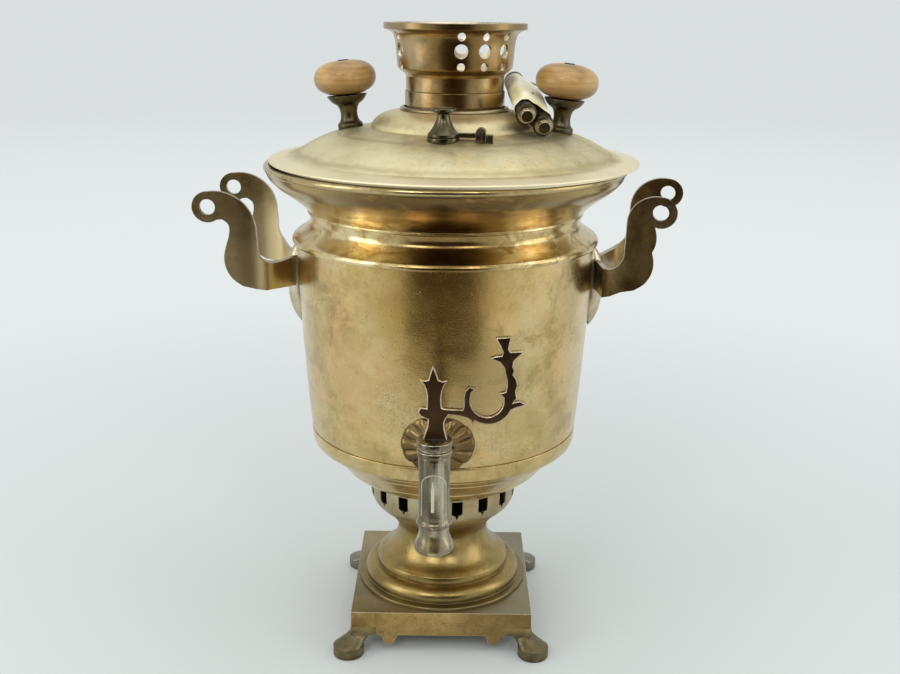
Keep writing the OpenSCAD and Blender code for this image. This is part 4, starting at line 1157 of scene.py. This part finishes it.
# %% Lay the beads
barrel_axis = Vector((0, -158 * MM, 0))
barrel_radius = 10.55 * MM
panel_foot, panel_spring = 164 * MM, 186.5 * MM
panel_half = 8.0 * MM
side_steps, arch_steps = 6, 18
bead_sink, ridge_sink = 0.1 * MM, 0.95 * MM
ridge_foot, ridge_step = 168 * MM, 2 * MM


def on_barrel(x, z, sink):
    """A point on the front of the barrel, x beside its middle and z up, sunk into the metal."""
    angle = math.asin(x / barrel_radius)
    r = barrel_radius - sink
    return tap_frame @ (barrel_axis + Vector((r * math.sin(angle), -r * math.cos(angle), z)))


def bead(name, points, radius, finish):
    line = bpy.data.curves.new(name, "CURVE")
    line.dimensions = "3D"
    line.bevel_depth = radius
    line.bevel_resolution = 3
    line.use_fill_caps = True
    path = line.splines.new("POLY")
    path.points.add(len(points) - 1)
    for knot, point in zip(path.points, points):
        knot.co = (*point, 1)
    path.use_smooth = True
    line.materials.append(finish)
    wire = new_object(name, line)
    shape = bpy.data.meshes.new_from_object(wire)
    bpy.data.objects.remove(wire)
    piece = new_object(name, shape)
    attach(piece, ROOT)
    print(name, "through", len(points), "points")


rise = (panel_spring - panel_foot) / side_steps
arch = [on_barrel(-panel_half, panel_foot + rise * i, bead_sink) for i in range(side_steps)]
for i in range(arch_steps + 1):
    angle = math.pi * (1 - i / arch_steps)
    x, z = panel_half * math.cos(angle), panel_spring + panel_half * math.sin(angle)
    arch.append(on_barrel(x, z, bead_sink))
arch += [on_barrel(panel_half, panel_spring - rise * (i + 1), bead_sink) for i in range(side_steps)]
bead("panel_bead", arch, 0.62 * MM, edge_bright)
ridge = [on_barrel(-0.6 * MM, ridge_foot + i * ridge_step, ridge_sink) for i in range(12)]
bead("panel_ridge", ridge, 1.15 * MM, lid_brass)

# %% [markdown]
# ## Knobs and grips
# The knobs lean outwards on the sloping lid, and the two loose grips lie on it at a slant. A matrix
# stands each one's own axis upright, so the same spinning function can turn them.

# %% Turn the knobs
knob_round = 0.3 * MM
between_facets = 4
knob_lean = math.radians(6)
knob_foot = Vector((79 * MM, 0, 402.86 * MM))
lid_turn = math.radians(-6)
for side, way in (("right", 0), ("left", math.pi)):
    stand = (
        flue_axis
        @ Matrix.Rotation(lid_turn + way, 4, "Z")
        @ Matrix.Translation(knob_foot)
        @ Matrix.Rotation(knob_lean, 4, "Y")
    )
    spun("knob_" + side, "knob_wood_" + side, LID, "knob_wood", beech, stand=stand, azimuth=between_facets,
         depth=0, cut=knob_round)

# %% [markdown]
# ## Two loose grips
# The brackets have lost their grips, which lie one above the other on the lid. They are dark wood on a
# rod, with a bronze cap at each end, and a worn ring round the nub in the middle of the cap.

# %% Turn the grips
bundle = (
    Matrix.Translation((69.5 * MM, -52 * MM, 409.89 * MM))
    @ Matrix.Rotation(math.radians(4), 4, "Z")
    @ Matrix.Rotation(math.radians(13), 4, "X")
)
grip_places = {"lower": Vector((0, 0, 0)), "upper": Vector((-12.8 * MM, 0, 8.4 * MM))}
grip_length = 89 * MM
cap_length = 12.5 * MM
nub_radius, ring_radius = 4.0 * MM, 5.6 * MM
cap_round = 0.25 * MM
ring_deep = 4.5 * MM
for level, offset in grip_places.items():
    stand = bundle @ Matrix.Translation(offset) @ Matrix.Rotation(-math.pi / 2, 4, "X")
    grip = spun("grip_" + level, "loose_grip_" + level, LID, "grip_wood", dark_wood, stand=stand,
                azimuth=between_facets, depth=0, cut=cap_round)
    grip.data.materials.append(dark_bronze)
    grip.data.materials.append(bracket_edge)
    down_to_axis = stand.inverted()
    for polygon in grip.data.polygons:
        here = down_to_axis @ polygon.center
        along = min(here.z, grip_length - here.z)
        ring = nub_radius < here.xy.length < ring_radius
        if along < cap_length:
            polygon.material_index = 3 if ring and along < ring_deep else 2

# %% [markdown]
# ## Crumpled paper
# Someone rolled the two loose grips in paper and tape. Paper can't stretch, so it folds in straight,
# sharp creases. The wrap follows the outline round both grips, and a ridged noise gives its creases.
# They are deepest on top, where nothing presses on the paper, and its two ends are torn.

# %% Paper with tape


def taped_paper():
    """Cream paper with yellow tape in its folds and one dark green fleck."""
    f = Finish("paper")
    here = f.place()
    tone = f.ramp(f.noise(here, 70, 4, 0.6), [(0.35, (0.95, 0.88, 0.60)), (0.65, (0.97, 0.95, 0.82))])
    tape = f.fade(f.noise(f.stretch(here, 1, 0.5, 1), 55, 2, 0.5), 0.54, 0.6)
    tone = f.mix(tape * 0.65, tone, (0.88, 0.76, 0.28))
    fold = f.near(here, (0.0615, -0.037, 0.4215), 0.003, 0.011)
    tone = f.mix(fold * 0.8, tone, (0.82, 0.70, 0.24))
    fleck = f.near(f.stretch(here, 1, 0.6, 1), (0.064, -0.0090, 0.4330), 0.0022, 0.001)
    tone = f.mix(fleck, tone, (0.05, 0.07, 0.03))
    f.emboss(f.noise(here, 160, 4, 0.6), 0.4 * MM)
    return f.surface(Base_Color=tone, Roughness=0.55 - tape * 0.25)


paper = taped_paper()

# %% The line round both grips
wrap_inner = 6.72 * MM
low_grip, high_grip = grip_places["lower"], grip_places["upper"]
straight = (high_grip - low_grip).length
bend = math.pi * wrap_inner
girth = 2 * (straight + bend)


def around_both(share):
    """A point and its outward direction on the taut line round the two grips, for a share of its length."""
    across = (high_grip - low_grip).normalized()
    side = Vector((-across.z, 0, across.x))
    reach = share % 1.0 * girth
    if reach < straight:
        return low_grip + across * reach - side * wrap_inner, -side
    reach -= straight
    if reach < bend:
        turn = reach / wrap_inner
        out = -side * math.cos(turn) + across * math.sin(turn)
        return high_grip + out * wrap_inner, out
    reach -= bend
    if reach < straight:
        return high_grip - across * reach + side * wrap_inner, side
    turn = (reach - straight) / wrap_inner
    out = side * math.cos(turn) - across * math.sin(turn)
    return low_grip + out * wrap_inner, out


print("the paper goes", round(girth / MM, 1), "mm round the grips")

# %% Wrap the grips
wrap_start = 14.5 * MM
wrap_length = 61 * MM
wrap_rows, wrap_columns = 64, 120
paper_thick = 0.25 * MM
paper_gap = 0.1 * MM
torn_edge = 1.6 * MM
tight_fold, loose_fold = 0.6 * MM, 1.5 * MM
upwards = Vector((-0.35, 0, 0.94))
wide_folds, fine_folds = 70, 150
sharpness = 2.4


def crease(x, y, z):
    """Sharp ridges from the folded value of a noise, 0 in the valleys and 1 on the ridges."""
    point = Vector((x, y, z))
    wide = 1 - abs(noise.noise(point * wide_folds)) * sharpness
    fine = 1 - abs(noise.noise(point * fine_folds + Vector((5, 2, 9)))) * sharpness
    return max(0.0, 0.7 * wide + 0.3 * fine)


vertices, faces = [], []
for row in range(wrap_rows + 1):
    for column in range(wrap_columns):
        share = column / wrap_columns
        flat, out = around_both(share)
        along = wrap_start + wrap_length * row / wrap_rows
        if row in (0, wrap_rows):
            along += torn_edge * noise.noise(Vector((share * 9, row, 3)))
        free = max(0.0, out.dot(upwards))
        lift = paper_gap + tight_fold * crease(flat.x * 1.4, along * 0.6, flat.z * 1.4)
        lift += free * loose_fold * crease(flat.x, along * 0.5 + 0.3, flat.z)
        vertices.append(bundle @ (Vector((flat.x, along, flat.z)) + out * lift))
for row in range(wrap_rows):
    for column in range(wrap_columns):
        beside = (column + 1) % wrap_columns
        a, b = row * wrap_columns, (row + 1) * wrap_columns
        faces.append((a + column, b + column, b + beside, a + beside))
wrap = new_piece("paper_wrap", vertices, faces, LID, "wrap_paper", paper)
thick = wrap.modifiers.new("thickness", "SOLIDIFY")
thick.thickness = paper_thick
thick.offset = 1
applied(wrap)
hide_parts("grip_wrap")
print("paper with", len(faces), "faces")

# %% [markdown]
# ## Parts that keep their own shape
# The grate, the rivets and the nuts are small or out of sight, and their measured shape is already the
# real one. They only need a finish.

# %% Finish the grate, rivets and nuts
own_shape = {"grate": iron, "handle_rivets": vent_brass, "knob_nuts": rod_steel}
for node, finish in own_shape.items():
    for material_slot in nodes[node].material_slots:
        material_slot.material = finish
print(len(own_shape), "parts keep their shape")

# %% [markdown]
# ## The studio's sweep
# Metal shows what surrounds it, so the room matters as much as the lamps. The room is a pale, even
# sweep without a horizon: the floor is lit near the samovar, where its shadow falls, and further out
# it fades into a glow of the room's own tone.

# %% Floor
room_tone = (0.70, 0.735, 0.735)
bright_tone = (0.79, 0.83, 0.83)
near_tone = (0.66, 0.695, 0.685)
floor_half = 12.0


def card(name, outline, place, finish):
    mesh = bpy.data.meshes.new(name)
    mesh.from_pydata([(x, y, 0) for x, y in outline], [], [tuple(range(len(outline)))])
    mesh.materials.append(finish)
    board = new_object(name, mesh)
    board.matrix_world = place
    return board


def sweep_finish():
    """Lit near the samovar, and glowing with the room's tone further out."""
    f = Finish("pale_sweep")
    away = f.length(f.place())
    glow = f.fade(away, 0.25, 1.1)
    far_tone = f.mix(f.fade(away, 1.6, 5.0), bright_tone, room_tone)
    lit = f.mix(glow, near_tone, (0, 0, 0))
    shine = f.mix(glow, (0, 0, 0), far_tone)
    return f.surface(Base_Color=lit, Roughness=0.9, Specular_IOR_Level=0.0, Emission_Color=shine,
                     Emission_Strength=1.0)


square = [(-floor_half, -floor_half), (floor_half, -floor_half), (floor_half, floor_half),
          (-floor_half, floor_half)]
card("floor", square, Matrix.Identity(4), sweep_finish())

# %% [markdown]
# ## Dark cards
# The dark column in the belly of the samovar is the reflection of dark cards in front of it, one lying
# and one standing. The camera doesn't see them, and they cast no shadow.

# %% Cards
card_front, card_back = 0.62, 2.3
card_tall = 1.5
wedge = [(0.30, -card_front), (1.35, -card_back), (-1.35, -card_back), (-0.30, -card_front)]
tall = [(-1.25, 0), (1.25, 0), (1.25, card_tall), (-1.25, card_tall)]
lying = Matrix.Translation((0, 0, 4 * MM))
standing = Matrix.Translation((0, -2.2, 0)) @ Matrix.Rotation(math.pi / 2, 4, "X")
dark = Finish("dark_card").surface(Base_Color=(0.05, 0.028, 0.012), Roughness=0.9, Specular_IOR_Level=0.0)
for board in (card("flag_low", wedge, lying, dark), card("flag_tall", tall, standing, dark)):
    board.visible_camera = False
    board.visible_shadow = False
    board.visible_diffuse = False
    print(board.name, "hidden from the camera")

# %% [markdown]
# ## Lamps
# Five large area lamps stand for windows and an open ceiling. A large lamp gives soft shadows and
# broad highlights, as a window does. The left side gets more light than the right.

# %% Lamps and the world
middle = Vector((0, 0, 0.26))


def lamp(name, size, at, power):
    """A rectangular lamp that looks at the samovar's middle."""
    light = bpy.data.lights.new(name, "AREA")
    light.shape = "RECTANGLE"
    light.size, light.size_y = size
    light.energy = power
    aim = (Vector(at) - middle).to_track_quat("Z", "Y").to_matrix().to_4x4()
    new_object(name, light).matrix_world = Matrix.Translation(at) @ aim


lamp("overhead", (1.8, 1.8), (0.1, 0.0, 2.0), 8)
lamp("left_window", (0.7, 1.3), (-1.5, -0.6, 0.8), 6)
lamp("right_window", (0.7, 1.3), (1.5, -0.3, 0.8), 4)
lamp("front_left", (0.6, 0.8), (-0.8, -1.9, 1.7), 8.5)
lamp("front_right", (0.5, 0.7), (0.7, -1.9, 1.7), 5)

world = bpy.data.worlds.new("pale_room")
bpy.context.scene.world = world
world.use_nodes = True
world.node_tree.nodes["Background"].inputs["Color"].default_value = (*room_tone, 1)
world.node_tree.nodes["Background"].inputs["Strength"].default_value = 1.0
bpy.context.scene.view_settings.view_transform = "Standard"
print("studio ready")
